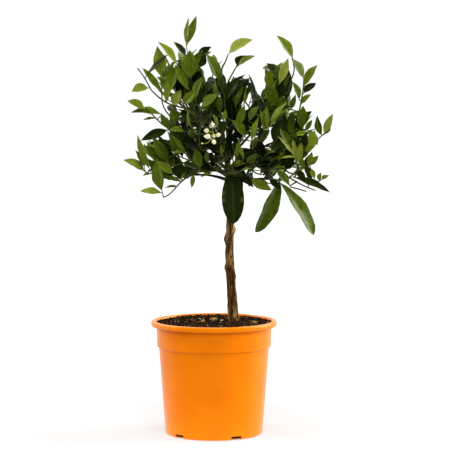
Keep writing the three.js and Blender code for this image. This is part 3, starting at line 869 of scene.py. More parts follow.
ARRIVE_PULL = 0.35


def trunk_axis(z):
    height = z - SOIL_TOP
    wave = 2 * math.pi * height / WANDER_WAVE
    lean = FORK_LEAN * (height / (TRUNK_TOP - SOIL_TOP)) ** 3
    x = TRUNK_X + FOOT_SHIFT * math.exp(-height / FOOT_FADE) + WANDER * math.sin(wave) + lean
    return np.array((x, WANDER * math.cos(wave), z))


def limb_curve(azimuth, reach, top, foot, rise, lift, **_):
    start = trunk_axis(foot)
    tip = trunk_axis(TRUNK_TOP)
    tip[2] = top
    tip = tip + heading(azimuth, 0) * reach
    span = np.linalg.norm(tip - start)
    leave = start + heading(azimuth, rise) * LEAVE_PULL * span
    arrive = tip - heading(azimuth, lift) * ARRIVE_PULL * span
    return Bezier(start, leave, arrive, tip)


curves = {name: limb_curve(**limb) for name, limb in LIMBS.items()}
limb_lines = {name: curve.line(LIMB_STEPS) for name, curve in curves.items()}
bough_lines = [
    curve.line(BOUGH_STEPS, 0, BOUGH_SHARE) for name, curve in curves.items() if name != TRUNK_MASS
]
trunk_shares = [i / TRUNK_STEPS for i in range(TRUNK_STEPS + 1)]
trunk_line = np.array([trunk_axis(lerp(SOIL_TOP, TRUNK_TOP, share)) for share in trunk_shares])
limb_tops = [limb["top"] for limb in LIMBS.values()]
print(len(curves), "limbs, their tips from", min(limb_tops), "to", max(limb_tops), "mm high")

# %% [markdown]
# ## Room for twigs and leaves
# Every twig and leaf that the rule grows is tried before it grows: a few probe points on it must lie nearer
# to their own limb than to any other and clear of the trunk and the bare boughs, and those of the finer ones
# inside the reach of the solid that they stand for. Testing points against lines with arrays is much faster
# than testing meshes.

# %% Room for twigs and leaves
SPACE_GAP = 1.6
BOUGH_GAP = 4.0
TRUNK_GAP = 8.0


def distances(points, line):
    """Distance from each point to a line of points."""
    starts, spans = line[:-1], np.diff(line, axis=0)
    offsets = points[:, None] - starts
    shares = np.clip((offsets * spans).sum(-1) / (spans * spans).sum(-1), 0, 1)
    return np.linalg.norm(offsets - shares[..., None] * spans, axis=-1).min(-1)


def line_length(line):
    return np.linalg.norm(np.diff(line, axis=0), axis=1).sum()


def clear_of(points, line, gap):
    return (distances(points, line) > gap).all()


def in_space(name, points):
    own = distances(points, limb_lines[name]) + SPACE_GAP
    return all((distances(points, line) > own).all() for other, line in limb_lines.items() if other != name)


def clear_of_limbs(points):
    if not clear_of(points, trunk_line, TRUNK_GAP):
        return False
    return all(clear_of(points, line, BOUGH_GAP) for line in bough_lines)


mass_boxes = {name: [np.array(corner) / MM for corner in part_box(f"leaves_{name}")] for name in LIMBS}


def in_reach(name, points):
    low, high = mass_boxes[name]
    return bool(((points > low) & (points < high)).all())


print("reach of the leader in mm:", [corner.round().tolist() for corner in mass_boxes["leader_left"]])

# %% [markdown]
# ## The crown's outline
# From the front the crown is not a ball: it dips over its middle, two groups of shoots stand up left and
# right, and the background shows through in many small places. Its reach in each direction round the middle
# is stated every ten degrees, and the openings as ellipses. Leaves that would cross either are left out.

# %% The crown's outline from the front
OUTLINE_MIDDLE = np.array((20.0, 475.0))
OUTLINE_STEP = 10
OUTLINE_REACH = (
    (150, 148, 130, 118, 140, 150, 127, 95, 92, 112, 137, 146)
    + (151, 165, 158, 126, 95, 103, 125, 138, 140, 138, 113, 92)
    + (66, 62, 64, 68, 72, 80, 92, 105, 116, 130, 142, 145)
)
OPENINGS = [
    (54, 529, 6, 15), (-72, 524, 8, 5), (-79, 474, 7, 8), (-49, 436, 7, 8), (0, 431, 6, 6), (91, 478, 4, 8),
    (49, 463, 8, 10), (80, 461, 4, 7), (33, 436, 4, 5), (67, 414, 8, 5), (121, 417, 6, 4), (104, 409, 6, 4),
    (-13, 579, 5, 10), (-5, 567, 6, 6), (128, 570, 5, 12), (129, 523, 5, 10), (68, 560, 9, 14),
    (24, 573, 7, 11), (-48, 521, 9, 5), (-68, 593, 5, 6), (-92, 577, 5, 8), (71, 545, 5, 8), (154, 490, 4, 6),
]


def front_view(points):
    """Where points appear, as x and z on the upright plane through the trunk, from the camera's place."""
    eye = np.array(CAMERA_PLACE) / MM
    shares = eye[1] / (eye[1] - points[:, 1])
    return (eye + (points - eye) * shares[:, None])[:, [0, 2]]


def in_outline(points):
    away = front_view(points) - OUTLINE_MIDDLE
    angles = np.degrees(np.arctan2(away[:, 1], away[:, 0])) % 360
    limits = np.interp(angles, np.arange(0, 361, OUTLINE_STEP), OUTLINE_REACH + OUTLINE_REACH[:1])
    return np.linalg.norm(away, axis=1) < limits


def in_opening(points):
    seen_at = front_view(points)
    found = np.zeros(len(points), bool)
    for x, z, half_x, half_z in OPENINGS:
        found |= ((seen_at[:, 0] - x) / half_x) ** 2 + ((seen_at[:, 1] - z) / half_z) ** 2 < 1
    return found


print("outline of", len(OUTLINE_REACH), "directions with", len(OPENINGS), "openings")

# %% [markdown]
# ## Twigs
# A twig leaves its parent in a spiral of 137.5 degrees, the turn that keeps leaves out of each other's
# shade, and bends up to the light. The same function grows the shoots that the solids have and, with
# smaller sizes, the twiglets that only this dressed tree carries.

# %% Twigs
STEM_LEVEL, SHOOT_LEVEL, TWIGLET_LEVEL = 0, 1, 2
GOLDEN_TURN = 137.5
TRIES = 6
TWIG_FIRST = 0.05
TWIG_LAST = 0.9
TWIG_JITTER = 0.8
TWIG_RETRY = (60, 90)
TWIG_SPREAD = 46.0
TWIG_SPREAD_DRAW = (0.8, 1.3)
TWIG_LENGTH_DRAW = (0.75, 1.25)
TWIG_LIFT_DRAW = (0.22, 0.55)
TWIG_PROBES = 6
TWIG_GAP = 2.2
SHOOTS = {"inner": 76.0, "outer": 46.0, "gap": 4.0, "bounded": False}
TWIGLETS = {"inner": 40.0, "outer": 27.0, "gap": 2.4, "bounded": True}


def new_twig(curve, line, level, start=0.0, gap=TWIG_GAP, bare=False, parent=None, at=0.0):
    span = {"curve": curve, "line": line, "start": start, "end": 1.0}
    return {**span, "level": level, "gap": gap, "bare": bare, "parent": parent, "at": at}


def grow_twigs(name, parent, count, habit, draw, twigs):
    """Grows up to `count` twigs out of a parent twig, each skipped where it finds no room."""
    curve = parent["curve"]
    turn = draw(0, 360)
    for k in range(count):
        for attempt in range(TRIES):
            share = lerp(TWIG_FIRST, TWIG_LAST, (k + draw(0, TWIG_JITTER)) / count)
            turn += GOLDEN_TURN if attempt == 0 else draw(*TWIG_RETRY)
            t = lerp(parent["start"], 1, share)
            start = curve.at(t)
            way = branching(curve.along(t), turn, TWIG_SPREAD * draw(*TWIG_SPREAD_DRAW))
            length = lerp(habit["inner"], habit["outer"], share) * draw(*TWIG_LENGTH_DRAW)
            end = start + way * length + (0, 0, length * draw(*TWIG_LIFT_DRAW))
            twig = Bezier(start, start + way * length / 2, end)
            line = twig.line(TWIG_PROBES)
            if not in_space(name, line[1:]) or not clear_of_limbs(line[2:]):
                continue
            if habit["bounded"] and not (in_reach(name, line) and in_outline(line).all()):
                continue
            if all(clear_of(line[2:], other["line"], habit["gap"]) for other in twigs):
                twigs.append(new_twig(twig, line, parent["level"] + 1, parent=parent, at=t))
                break


for title, habit in (("shoots", SHOOTS), ("twiglets", TWIGLETS)):
    print(title, "about", habit["outer"], "to", habit["inner"], "mm long")

# %% [markdown]
# ## Leaves
# A leaf here is a root on its twig, a direction, an upper face turned to the light, a length, a width and a
# curl. Young leaves near a tip are slim and upright, and old ones are broad and lean out. A leaf may
# try six turns round its twig before its place is left empty.

# %% A leaf's shape and its probe points
BLADE_ROOT_POWER = 1.05
BLADE_TIP_POWER = 1.2
PROBE_STATIONS = (0.2, 0.36, 0.52, 0.68, 0.84, 1.0)
PROBE_SIDES = np.array((-1, -0.5, 0, 0.5, 1))


def swell(s, root_power, tip_power):
    """Width of a blade along its length, 1 where it is widest."""
    widest = root_power / (root_power + tip_power)
    most = widest**root_power * (1 - widest) ** tip_power
    return s**root_power * (1 - s) ** tip_power / most


def leaf_middle(leaf, s):
    bend = leaf["curl"] * s
    radius = leaf["length"] / leaf["curl"]
    return leaf["root"] + leaf["way"] * radius * math.sin(bend) - leaf["face"] * radius * (1 - math.cos(bend))


def with_probes(leaf):
    across = np.cross(leaf["way"], leaf["face"])
    rows = []
    for s in PROBE_STATIONS:
        half = 0.5 * leaf["width"] * swell(s, BLADE_ROOT_POWER, BLADE_TIP_POWER)
        rows.append(leaf_middle(leaf, s) + np.outer(PROBE_SIDES * half, across))
    leaf["probes"] = np.concatenate(rows)
    return leaf


print("each leaf is tried at", len(PROBE_STATIONS) * len(PROBE_SIDES), "points")

# %% Leaves in a spiral
INNER_LEAF_LENGTH = 53.0
OUTER_LEAF_LENGTH = 36.0
OLD_LEAF_SHARE = 0.37
YOUNG_LEAF_SHARE = 0.27
LAST_LEAF = 0.6
INNER_LEAF_SPREAD = 53.0
OUTER_LEAF_SPREAD = 31.0
LAST_LEAF_SPREAD = (12, 26)
LEAF_SPREAD_DRAW = (0.8, 1.2)
LEAF_TURN_DRAW = (-15, 15)
LEAF_STEP_DRAW = (0.8, 1.3)
LEAF_FACE_DRAW = (-0.5, 0.5)
LEAF_LENGTH_DRAW = (0.75, 1.2)
LEAF_WIDTH_DRAW = (0.88, 1.18)
LEAF_CURL_DRAW = (10.0, 49.0)
RETRY_TURN = 55.0
STEM_YOUTH = 0.6
LEAF_LIFT = 0.6
LEAF_DROOP = 0.12
LEAF_FOLLOW = 0.5
LIGHT = np.array((-0.05, -0.6, 0.6))
FIRST_LEAVES = {"step": 17.0, "size": 1.0, "slim": 1.0, "gap": 5.0, "bounded": False}
FINE_LEAVES = {"step": 10.0, "size": 0.95, "slim": 0.78, "gap": 2.2, "bounded": True}


def leaf_fits(leaf, name, twigs, leaves, habit):
    outer = leaf["probes"][len(PROBE_SIDES) :]
    for other in leaves:
        if np.linalg.norm(other["root"] - leaf["root"]) > other["length"] + leaf["length"]:
            continue
        if not (np.linalg.norm(other["probes"][:, None] - outer, axis=-1) > habit["gap"]).all():
            return False
    if not all(clear_of(outer, twig["line"], twig["gap"]) for twig in twigs):
        return False
    if habit["bounded"] and not (in_reach(name, leaf["probes"]) and stays(leaf["probes"])):
        return False
    return in_space(name, leaf["probes"]) and clear_of_limbs(leaf["probes"])


def leaf_try(root, along, turn, spread, share, youth, draw):
    way = branching(along, turn, spread)
    way[2] += LEAF_LIFT * (youth - LEAF_DROOP)
    way = unit(way)
    face = LIGHT + along * LEAF_FOLLOW + np.array([draw(*LEAF_FACE_DRAW) for _ in range(3)])
    length = lerp(INNER_LEAF_LENGTH, OUTER_LEAF_LENGTH, share * share) * draw(*LEAF_LENGTH_DRAW)
    width = length * lerp(OLD_LEAF_SHARE, YOUNG_LEAF_SHARE, youth) * draw(*LEAF_WIDTH_DRAW)
    place = {"root": root, "way": way, "face": square_to(face, way)}
    sizes = {"length": length, "width": width, "curl": math.radians(draw(*LEAF_CURL_DRAW))}
    return {**place, **sizes, "youth": youth}


def grow_leaves(name, bearing, habit, draw, twigs, leaves):
    """Grows leaves in a spiral up each bearing twig."""
    for twig in bearing:
        total = line_length(twig["line"])
        at = habit["step"]
        turn = draw(0, 360)
        while at <= total:
            share = at / total
            is_last = total - at < LAST_LEAF * habit["step"]
            t = lerp(twig["start"], 1, share)
            along = twig["curve"].along(t)
            youth = share if twig["level"] else STEM_YOUTH * share
            for attempt in range(TRIES):
                turn += GOLDEN_TURN + draw(*LEAF_TURN_DRAW) if attempt == 0 else RETRY_TURN
                wide = lerp(INNER_LEAF_SPREAD, OUTER_LEAF_SPREAD, share)
                spread = draw(*LAST_LEAF_SPREAD) if is_last else wide * draw(*LEAF_SPREAD_DRAW)
                leaf = leaf_try(twig["curve"].at(t), along, turn, spread, share, youth, draw)
                leaf["length"] *= habit["size"]
                leaf["width"] *= habit["size"] * habit["slim"]
                if leaf_fits(with_probes(leaf), name, twigs, leaves, habit):
                    leaves.append({**leaf, "twig": twig, "at": t})
                    break
            at += habit["step"] * draw(*LEAF_STEP_DRAW)


print("leaves", OUTER_LEAF_LENGTH, "to", INNER_LEAF_LENGTH, "mm long")

# %% [markdown]
# ## Leaves that stand out
# Some leaves stand alone against the light, and the eye knows this tree by them: the pair on its leader, two
# pale arches over the dip, three old leaves that hang. They are stated one by one, as root, tip, width,
# curl, the side that the upper face looks to, and age. The age sets a leaf's tint, so it also paints how lit
# or shaded that leaf looks. A few leading shoots carry them. The leaves that grow keep clear of all of these,
# and from the front they may hide only the dark ones.

# %% Leading shoots
LEADING_SHOOTS = {
    "left_arch": [
        (-38, -2, 514), (-66, -4, 521), (-81, -5, 529),
        (-98, -7, 544), (-108, -8, 563), (-120, -10, 579),
    ],
    "left_upright": [(-57, -5, 491), (-69, -4, 504), (-77, -2, 514), (-82, -1, 529), (-82, 0, 565)],
    "left_side": [(-73, -15, 486), (-83, -18, 493), (-92, -22, 502), (-107, -25, 517)],
    "middle_arch": [(6, -10, 552), (12, -12, 576), (19, -13, 591), (22, -15, 600)],
    "middle_upright": [(13, -8, 534), (25, -9, 563), (33, -11, 577), (36, -12, 583)],
    "right_leader": [(116, -5, 540), (121, -8, 560), (126, -12, 576), (123, -15, 594)],
    "right_upright": [(131, -15, 504), (137, -14, 528), (140, -13, 548), (141, -12, 564)],
    "right_spray": [
        (127, -40, 411), (132, -36, 426), (137, -32, 439),
        (154, -28, 455), (161, -24, 466), (172, -20, 476),
    ],
    "right_tuft": [(127, -50, 412), (130, -59, 424), (129, -69, 434), (126, -78, 446)],
    "low_left_arch": [(-30, -15, 415), (-49, -17, 403), (-69, -20, 382), (-79, -22, 377)],
    "low_left_side": [
        (-52, -22, 406), (-64, -23, 414), (-83, -24, 416),
        (-100, -25, 414), (-108, -26, 418),
    ],
    "low_right_spur": [(121, -20, 406), (139, -25, 396), (159, -30, 388)],
    "low_right_stub": [(130, -22, 401), (119, -23, 394), (133, -25, 390), (145, -26, 386)],
}
print(len(LEADING_SHOOTS), "leading shoots")

# %% Leaves that stand out
FACE_HINTS = {
    "front": (0.0, -1.0, 0.35),
    "up": (0.0, -0.7, 1.0),
    "left": (-0.75, -0.8, 0.4),
    "right": (0.75, -0.8, 0.4),
    "upleft": (-0.6, -0.7, 0.7),
}
LEAST_SEEN = 0.5
# The last column, the age, picks each leaf's tint, which also paints how lit or shaded that leaf looks.
STANDING_LEAVES = [
    ((28, -86, 430), (31, -92, 340), 34, 8, "front", "mature"),
    ((105, -20, 408), (65, -30, 322), 26, 25, "right", "grown"),
    ((101, -22, 403), (156, -40, 318), 18, 27, "right", "grown"),
    ((-43, -22, 614), (-39, -24, 658), 7, 6, "left", "young"),
    ((-42, -16, 615), (-27, -10, 661), 12, 14, "front", "grown"),
    ((-58, -15, 585), (-88, -22, 620), 12, 22, "right", "young"),
    ((-83, 0, 565), (-89, -6, 614), 19, 8, "front", "young"),
    ((-106, -10, 567), (-71, -16, 601), 7, 5, "up", "mature"),
    ((-44, 10, 597), (-64, 14, 621), 10, 12, "right", "mature"),
    ((-36, -45, 562), (-37, -40, 607), 23, 5, "front", "grown"),
    ((-25, 0, 596), (-4, 6, 613), 11, 8, "up", "old"),
    ((-22, -6, 580), (-13, -10, 601), 13, 8, "front", "mature"),
    ((8, -10, 560), (-12, -20, 601), 16, 10, "right", "grown"),
    ((-71, -15, 536), (-58, -10, 584), 16, 6, "left", "grown"),
    ((-39, -35, 544), (-61, -30, 585), 13, 10, "front", "grown"),
    ((-74, -25, 525), (-72, -28, 559), 9, 6, "front", "young"),
    ((-65, -30, 521), (-51, -40, 545), 14, 10, "front", "fresh"),
    ((-102, -8, 548), (-129, -14, 542), 12, 26, "up", "young"),
    ((-84, -5, 541), (-113, 2, 580), 9, 12, "right", "grown"),
    ((-107, -25, 514), (-135, -32, 528), 10, 12, "up", "young"),
    ((-81, -20, 507), (-130, -28, 510), 12, 16, "up", "grown"),
    ((-91, -20, 501), (-111, -24, 498), 4, 8, "up", "young"),
    ((-71, -30, 483), (-114, -38, 466), 14, 24, "front", "mature"),
    ((-100, -35, 420), (-119, -40, 476), 11, 8, "left", "young"),
    ((-108, -30, 424), (-123, -26, 451), 9, 16, "right", "grown"),
    ((-107, -25, 417), (-142, -32, 436), 11, 20, "up", "fresh"),
    ((-100, -25, 414), (-111, -28, 411), 4, 10, "up", "fresh"),
    ((-70, -45, 431), (-96, -50, 473), 17, 6, "front", "grown"),
    ((-63, -35, 430), (-87, -30, 475), 15, 8, "front", "mature"),
    ((-80, -55, 387), (-89, -58, 436), 17, 6, "left", "grown"),
    ((-80, -45, 385), (-115, -52, 388), 8, 10, "up", "fresh"),
    ((-55, -25, 405), (-56, -20, 443), 16, 6, "front", "mature"),
    ((-64, -50, 415), (-88, -58, 435), 12, 8, "front", "young"),
    ((-52, -30, 402), (-82, -36, 408), 7, 10, "up", "grown"),
    ((-57, -20, 394), (-77, -24, 392), 4, 8, "up", "young"),
    ((-32, -15, 413), (-35, -18, 391), 7, 6, "front", "fresh"),
    ((-3, -10, 415), (-21, -14, 408), 5, 16, "up", "fresh"),
    ((12, -40, 420), (-27, -48, 416), 11, 18, "up", "grown"),
    ((-21, -60, 424), (-29, -62, 457), 14, 8, "front", "grown"),
    ((22, -15, 600), (61, -24, 623), 13, 40, "upleft", "fresh"),
    ((37, -12, 582), (65, -20, 598), 8, 24, "upleft", "fresh"),
    ((36, -8, 581), (52, 0, 599), 14, 16, "left", "mature"),
    ((124, -15, 593), (98, -20, 630), 13, 22, "right", "grown"),
    ((141, -12, 563), (121, -16, 594), 14, 16, "right", "grown"),
    ((141, -15, 550), (162, -22, 584), 11, 12, "upleft", "young"),
    ((140, -12, 539), (161, -6, 556), 9, 12, "upleft", "mature"),
    ((137, -15, 523), (152, -20, 538), 7, 10, "upleft", "young"),
    ((134, -20, 529), (122, -26, 558), 9, 20, "right", "grown"),
    ((102, -30, 554), (116, -34, 595), 13, 8, "front", "fresh"),
    ((87, -25, 548), (84, -30, 577), 13, 8, "front", "grown"),
    ((102, 0, 565), (83, 6, 587), 12, 10, "up", "mature"),
    ((120, -25, 514), (128, -28, 538), 8, 8, "front", "grown"),
    ((63, -25, 530), (54, -20, 570), 5, 30, "right", "mature"),
    ((18, -10, 544), (50, -4, 569), 7, 8, "up", "mature"),
    ((25, -15, 540), (54, -22, 562), 8, 10, "up", "mature"),
    ((172, -22, 476), (186, -28, 508), 11, 8, "front", "fresh"),
    ((169, -15, 473), (162, -12, 505), 11, 8, "left", "grown"),
    ((174, -8, 475), (184, -2, 489), 7, 8, "front", "mature"),
    ((143, -25, 481), (154, -28, 499), 7, 8, "front", "grown"),
    ((137, -30, 484), (139, -34, 521), 16, 6, "front", "grown"),
    ((129, -75, 431), (121, -80, 471), 8, 8, "front", "fresh"),
    ((129, -80, 433), (135, -86, 465), 10, 8, "front", "fresh"),
    ((125, -78, 443), (98, -84, 475), 4, 14, "right", "fresh"),
    ((126, -85, 443), (102, -92, 441), 3, 10, "up", "fresh"),
    ((149, -50, 428), (163, -54, 444), 8, 10, "front", "young"),
    ((150, -40, 404), (149, -36, 425), 10, 8, "front", "mature"),
    ((164, -42, 403), (167, -46, 417), 6, 8, "left", "young"),
    ((168, -38, 405), (180, -34, 412), 6, 8, "up", "grown"),
    ((123, -50, 410), (181, -58, 386), 10, 14, "up", "mature"),
    ((57, -20, 404), (91, -30, 388), 14, 10, "front", "young"),
    ((145, -45, 447), (157, -50, 483), 15, 8, "front", "young"),
    ((142, -55, 455), (144, -60, 480), 11, 8, "left", "mature"),
    ((63, -70, 471), (68, -74, 500), 6, 8, "left", "grown"),
    ((78, -75, 480), (71, -80, 515), 7, 8, "right", "grown"),
    ((83, -80, 487), (81, -86, 520), 7, 8, "front", "young"),
    ((87, -75, 490), (112, -84, 526), 9, 10, "upleft", "young"),
    ((89, -70, 492), (117, -78, 518), 6, 10, "upleft", "grown"),
    ((74, -60, 441), (71, -66, 470), 14, 8, "front", "old"),
    ((93, -55, 461), (106, -60, 501), 14, 8, "left", "mature"),
    ((117, -62, 461), (102, -68, 486), 11, 8, "front", "grown"),
    ((86, -65, 455), (115, -72, 459), 10, 12, "up", "mature"),
    ((64, -58, 429), (88, -66, 433), 13, 12, "up", "old"),
    ((79, -62, 440), (103, -70, 445), 11, 12, "up", "old"),
    ((85, -66, 423), (106, -74, 434), 11, 12, "up", "mature"),
    ((108, -58, 423), (126, -64, 439), 14, 10, "front", "mature"),
    ((33, -58, 431), (64, -66, 448), 16, 10, "up", "mature"),
    ((126, -48, 472), (118, -52, 500), 11, 8, "left", "grown"),
    ((111, -44, 475), (108, -48, 507), 13, 8, "front", "mature"),
    ((-44, -38, 466), (-70, -44, 483), 16, 10, "front", "mature"),
    ((-25, -50, 496), (-53, -58, 501), 11, 14, "up", "mature"),
    ((-28, -58, 467), (-33, -62, 489), 11, 8, "left", "grown"),
    ((-24, -52, 457), (-51, -60, 464), 18, 10, "up", "old"),
    ((-48, -30, 447), (-70, -36, 461), 13, 10, "up", "mature"),
    ((-34, -28, 483), (-53, -34, 493), 15, 8, "front", "old"),
    ((10, -62, 448), (15, -66, 489), 16, 8, "left", "mature"),
    ((6, -60, 448), (-15, -66, 465), 14, 8, "up", "old"),
    ((-68, -34, 486), (-82, -40, 509), 11, 8, "left", "grown"),
    ((-52, -8, 535), (-55, -12, 568), 13, 8, "front", "old"),
    ((-32, -24, 551), (-20, -28, 576), 14, 8, "front", "old"),
    ((-30, -44, 530), (-19, -50, 565), 11, 8, "left", "grown"),
    ((-47, -48, 523), (-28, -54, 544), 14, 8, "front", "grown"),
    ((-30, -38, 519), (-18, -44, 549), 14, 8, "front", "mature"),
    ((-20, -54, 517), (7, -60, 538), 13, 12, "upleft", "grown"),
    ((-57, -48, 498), (-64, -54, 515), 16, 8, "front", "grown"),
    ((-36, -44, 506), (-53, -50, 505), 10, 8, "up", "old"),
    ((89, -44, 519), (95, -48, 549), 17, 8, "front", "grown"),
    ((61, -48, 511), (71, -52, 528), 14, 8, "front", "mature"),
    ((33, -38, 519), (47, -44, 551), 10, 8, "left", "grown"),
    ((47, -28, 523), (51, -32, 551), 6, 10, "right", "young"),
    ((112, -34, 494), (131, -42, 503), 11, 12, "up", "mature"),
    ((98, -44, 508), (118, -50, 520), 10, 10, "upleft", "mature"),
    ((105, -18, 534), (108, -22, 557), 9, 8, "front", "mature"),
    ((-18, -56, 510), (8, -62, 540), 10, 10, "upleft", "grown"),
    ((2, -50, 497), (-5, -54, 523), 13, 8, "front", "mature"),
    ((10, -56, 509), (11, -60, 537), 10, 8, "left", "grown"),
    ((15, -62, 498), (19, -66, 515), 7, 8, "front", "young"),
    ((37, -72, 489), (48, -78, 523), 12, 8, "front", "grown"),
    ((49, -74, 473), (27, -80, 499), 13, 8, "up", "grown"),
    ((58, -72, 466), (69, -78, 503), 8, 8, "left", "young"),
    ((7, -60, 473), (17, -64, 499), 14, 8, "front", "mature"),
    ((12, -66, 444), (19, -70, 466), 7, 8, "left", "young"),
    ((11, -56, 443), (-13, -62, 471), 14, 8, "front", "mature"),
    ((27, -50, 441), (40, -54, 471), 13, 8, "front", "old"),
    ((31, -54, 432), (62, -62, 452), 16, 12, "up", "old"),
    ((38, -60, 423), (69, -68, 438), 13, 12, "up", "old"),
    ((24, -70, 427), (48, -76, 433), 7, 10, "up", "grown"),
    ((7, -44, 431), (-20, -52, 443), 12, 10, "up", "old"),
    ((13, -40, 425), (-23, -50, 423), 10, 14, "up", "old"),
    ((27, -62, 418), (48, -70, 427), 12, 10, "up", "old"),
    ((19, -46, 446), (25, -50, 480), 13, 8, "front", "old"),
    ((28, -40, 497), (27, -44, 531), 12, 8, "front", "old"),
    ((-16, -46, 470), (-27, -50, 493), 13, 8, "front", "mature"),
    ((54, -52, 487), (57, -56, 514), 14, 8, "front", "old"),
    ((54, -60, 497), (70, -66, 520), 10, 8, "upleft", "grown"),
    ((69, -52, 465), (87, -58, 482), 14, 10, "up", "mature"),
    ((31, -48, 463), (32, -52, 481), 11, 8, "front", "old"),
    ((28, -66, 420), (51, -72, 412), 13, 8, "up", "old"),
    ((147, -54, 427), (152, -60, 450), 9, 8, "front", "young"),
    ((143, -48, 432), (147, -52, 410), 8, 8, "front", "mature"),
    ((151, -48, 423), (157, -52, 407), 7, 8, "front", "young"),
    ((139, -58, 423), (137, -62, 441), 8, 8, "left", "young"),
    ((128, -54, 432), (107, -60, 428), 11, 8, "up", "mature"),
    ((97, -54, 420), (118, -58, 396), 13, 8, "right", "grown"),
    ((94, -46, 405), (75, -52, 418), 9, 8, "up", "mature"),
    ((-8, -70, 455), (-30, -76, 477), 14, 8, "front", "old"),
    ((14, -58, 430), (1, -62, 449), 12, 8, "front", "old"),
    ((143, -50, 424), (149, -54, 446), 10, 8, "front", "mature"),
    ((128, -46, 420), (143, -50, 406), 10, 8, "front", "mature"),
    ((34, -70, 416), (62, -76, 395), 12, 8, "up", "old"),
    ((86, -30, 407), (105, -36, 390), 9, 8, "front", "mature"),
    ((128, -50, 470), (123, -54, 492), 8, 8, "left", "grown"),
    ((150, -40, 450), (163, -44, 470), 8, 8, "upleft", "young"),
    ((33, -80, 420), (45, -84, 391), 10, 8, "front", "old"),
    ((140, -30, 497), (153, -34, 512), 8, 8, "upleft", "mature"),
    ((51, -30, 535), (58, -34, 557), 6, 8, "front", "mature"),
]


def standing_leaf(root, tip, width, curl, face, age):
    """A leaf from a root to a tip that shows a given width to the front. Both ends share its curl."""
    root, tip, half = np.array(root, float), np.array(tip, float), math.radians(curl) / 2
    chord = np.linalg.norm(tip - root)
    along = (tip - root) / chord
    over = square_to(np.array(FACE_HINTS[face]), along)
    place = {"root": root, "way": along * math.cos(half) + over * math.sin(half)}
    place["face"] = over * math.cos(half) - along * math.sin(half)
    turned_to_front = max(LEAST_SEEN, abs(over[1]))
    sizes = {"length": chord * half / math.sin(half), "width": width / turned_to_front, "curl": 2 * half}
    return with_probes({**place, **sizes, "youth": STEM_YOUTH, "age": age})


standing = [standing_leaf(*row) for row in STANDING_LEAVES]
print(len(standing), "leaves stand out")

# %% Keeping clear of the leaves that stand out
BUD_LENGTH = 8.6
BUDS = [
    (-2, -90, 488, 262, 58, 0.95),
    (-7, -92, 482, 180, 14, 1.0),
    (-5, -95, 475, 200, -10, 1.1),
    (-1, -86, 476, 300, -20, 0.8),
    (3, -91, 476, 350, 8, 0.95),
    (0, -94, 469, 285, -55, 0.95),
    (-16, -84, 463, 170, 10, 0.4),
]
BUD_PROBES = (0.2, 0.8)
STANDING_GAP = 3.0
HIDING_GAP = 3.5
SHOWN_AGES = ("fresh", "young", "grown")


def bud_place(x, y, z, azimuth, climb, size):
    """A bud: where its cup sits, which way it points and how large it is."""
    return np.array((x, y, z), float), heading(azimuth, climb), size


buds = [bud_place(*row) for row in BUDS]
shown = [leaf for leaf in standing if leaf["age"] in SHOWN_AGES]
bud_probes = np.array(
    [foot + way * size * BUD_LENGTH * share for foot, way, size in buds for share in BUD_PROBES]
)
standing_probes = np.concatenate([leaf["probes"] for leaf in standing] + [bud_probes])
shown_probes = np.concatenate([leaf["probes"] for leaf in shown] + [bud_probes])
shown_at = front_view(shown_probes)


def gives_way(points):
    """Whether points touch a leaf that stands out, or hide a light one from the front."""
    near = np.linalg.norm(standing_probes[:, None] - points, axis=-1).min() < STANDING_GAP
    covered = np.linalg.norm(shown_at[:, None] - front_view(points), axis=-1) < HIDING_GAP
    return near or (covered & (points[:, 1] < shown_probes[:, 1][:, None])).any()


def stays(points):
    return in_outline(points).all() and not in_opening(points).any() and not gives_way(points)


print(len(buds), "buds and", len(shown), "light leaves are kept in sight")

# %% [markdown]
# ## The crown
# All else grows: first the twigs and leaves of the solids, with the solids' own seeds, then finer twiglets
# and leaves between them. A leaf that crosses the outline, an opening or a leaf that stands out is left away,
# and twigs are cut back to their last leaf. Short twigs then join the leaves that stand out to the wood.

# %% Old leaves and the truss of the solids
HANGING_FACTS = ("mass", "along", "azimuth", "climb", "length", "width", "curl")
HANGING_LEAVES = [
    ("front_low", 0.6, 350, -83, 84, 35, 10),
    ("low_right", 0.6, 205, -68, 81, 27, 14),
    ("low_right", 0.64, 345, -51, 99, 24, 14),
]
HANGING_FACE = np.array((0, -1, 0.25))
HANGING_YOUTH = -1
TRUSS = {"mass": "front_left", "along": 0.72, "azimuth": 262, "climb": 12, "length": 26}
BUD_GAP = 9.0


def hanging_leaves(name):
    grown = []
    for row in HANGING_LEAVES:
        old = dict(zip(HANGING_FACTS, row))
        if old["mass"] == name:
            way = heading(old["azimuth"], old["climb"])
            place = {"root": curves[name].at(old["along"]), "way": way, "face": square_to(HANGING_FACE, way)}
            sizes = {"length": old["length"], "width": old["width"], "curl": math.radians(old["curl"])}
            grown.append(with_probes({**place, **sizes, "youth": HANGING_YOUTH, "twig": None, "at": 0.0}))
    return grown


def truss_twig():
    start = curves[TRUSS["mass"]].at(TRUSS["along"])
    end = start + heading(TRUSS["azimuth"], TRUSS["climb"]) * TRUSS["length"]
    return new_twig(Bezier(start, end), np.array((start, end)), SHOOT_LEVEL, gap=BUD_GAP, bare=True)


print(len(HANGING_LEAVES), "old leaves hang, and the truss is", TRUSS["length"], "mm long")

# %% Grow the crown
MASS_SEEDS = 1000
FINE_SEED = 500
STEM_STEPS = 5
TWIGLET_STEP = 26.0


def pruned(twigs, leaves):
    """The twigs, each cut back to its last leaf or side twig, without those that carry nothing."""
    for twig in sorted(twigs, key=lambda twig: -twig["level"]):
        if not twig["bare"]:
            borne = leaves + [side for side in twigs if side["end"] > side["start"]]
            places = [thing["at"] for thing in borne if twig is thing.get("twig", thing.get("parent"))]
            twig["end"] = max(places, default=twig["start"])
    return [twig for twig in twigs if twig["end"] > twig["start"]]


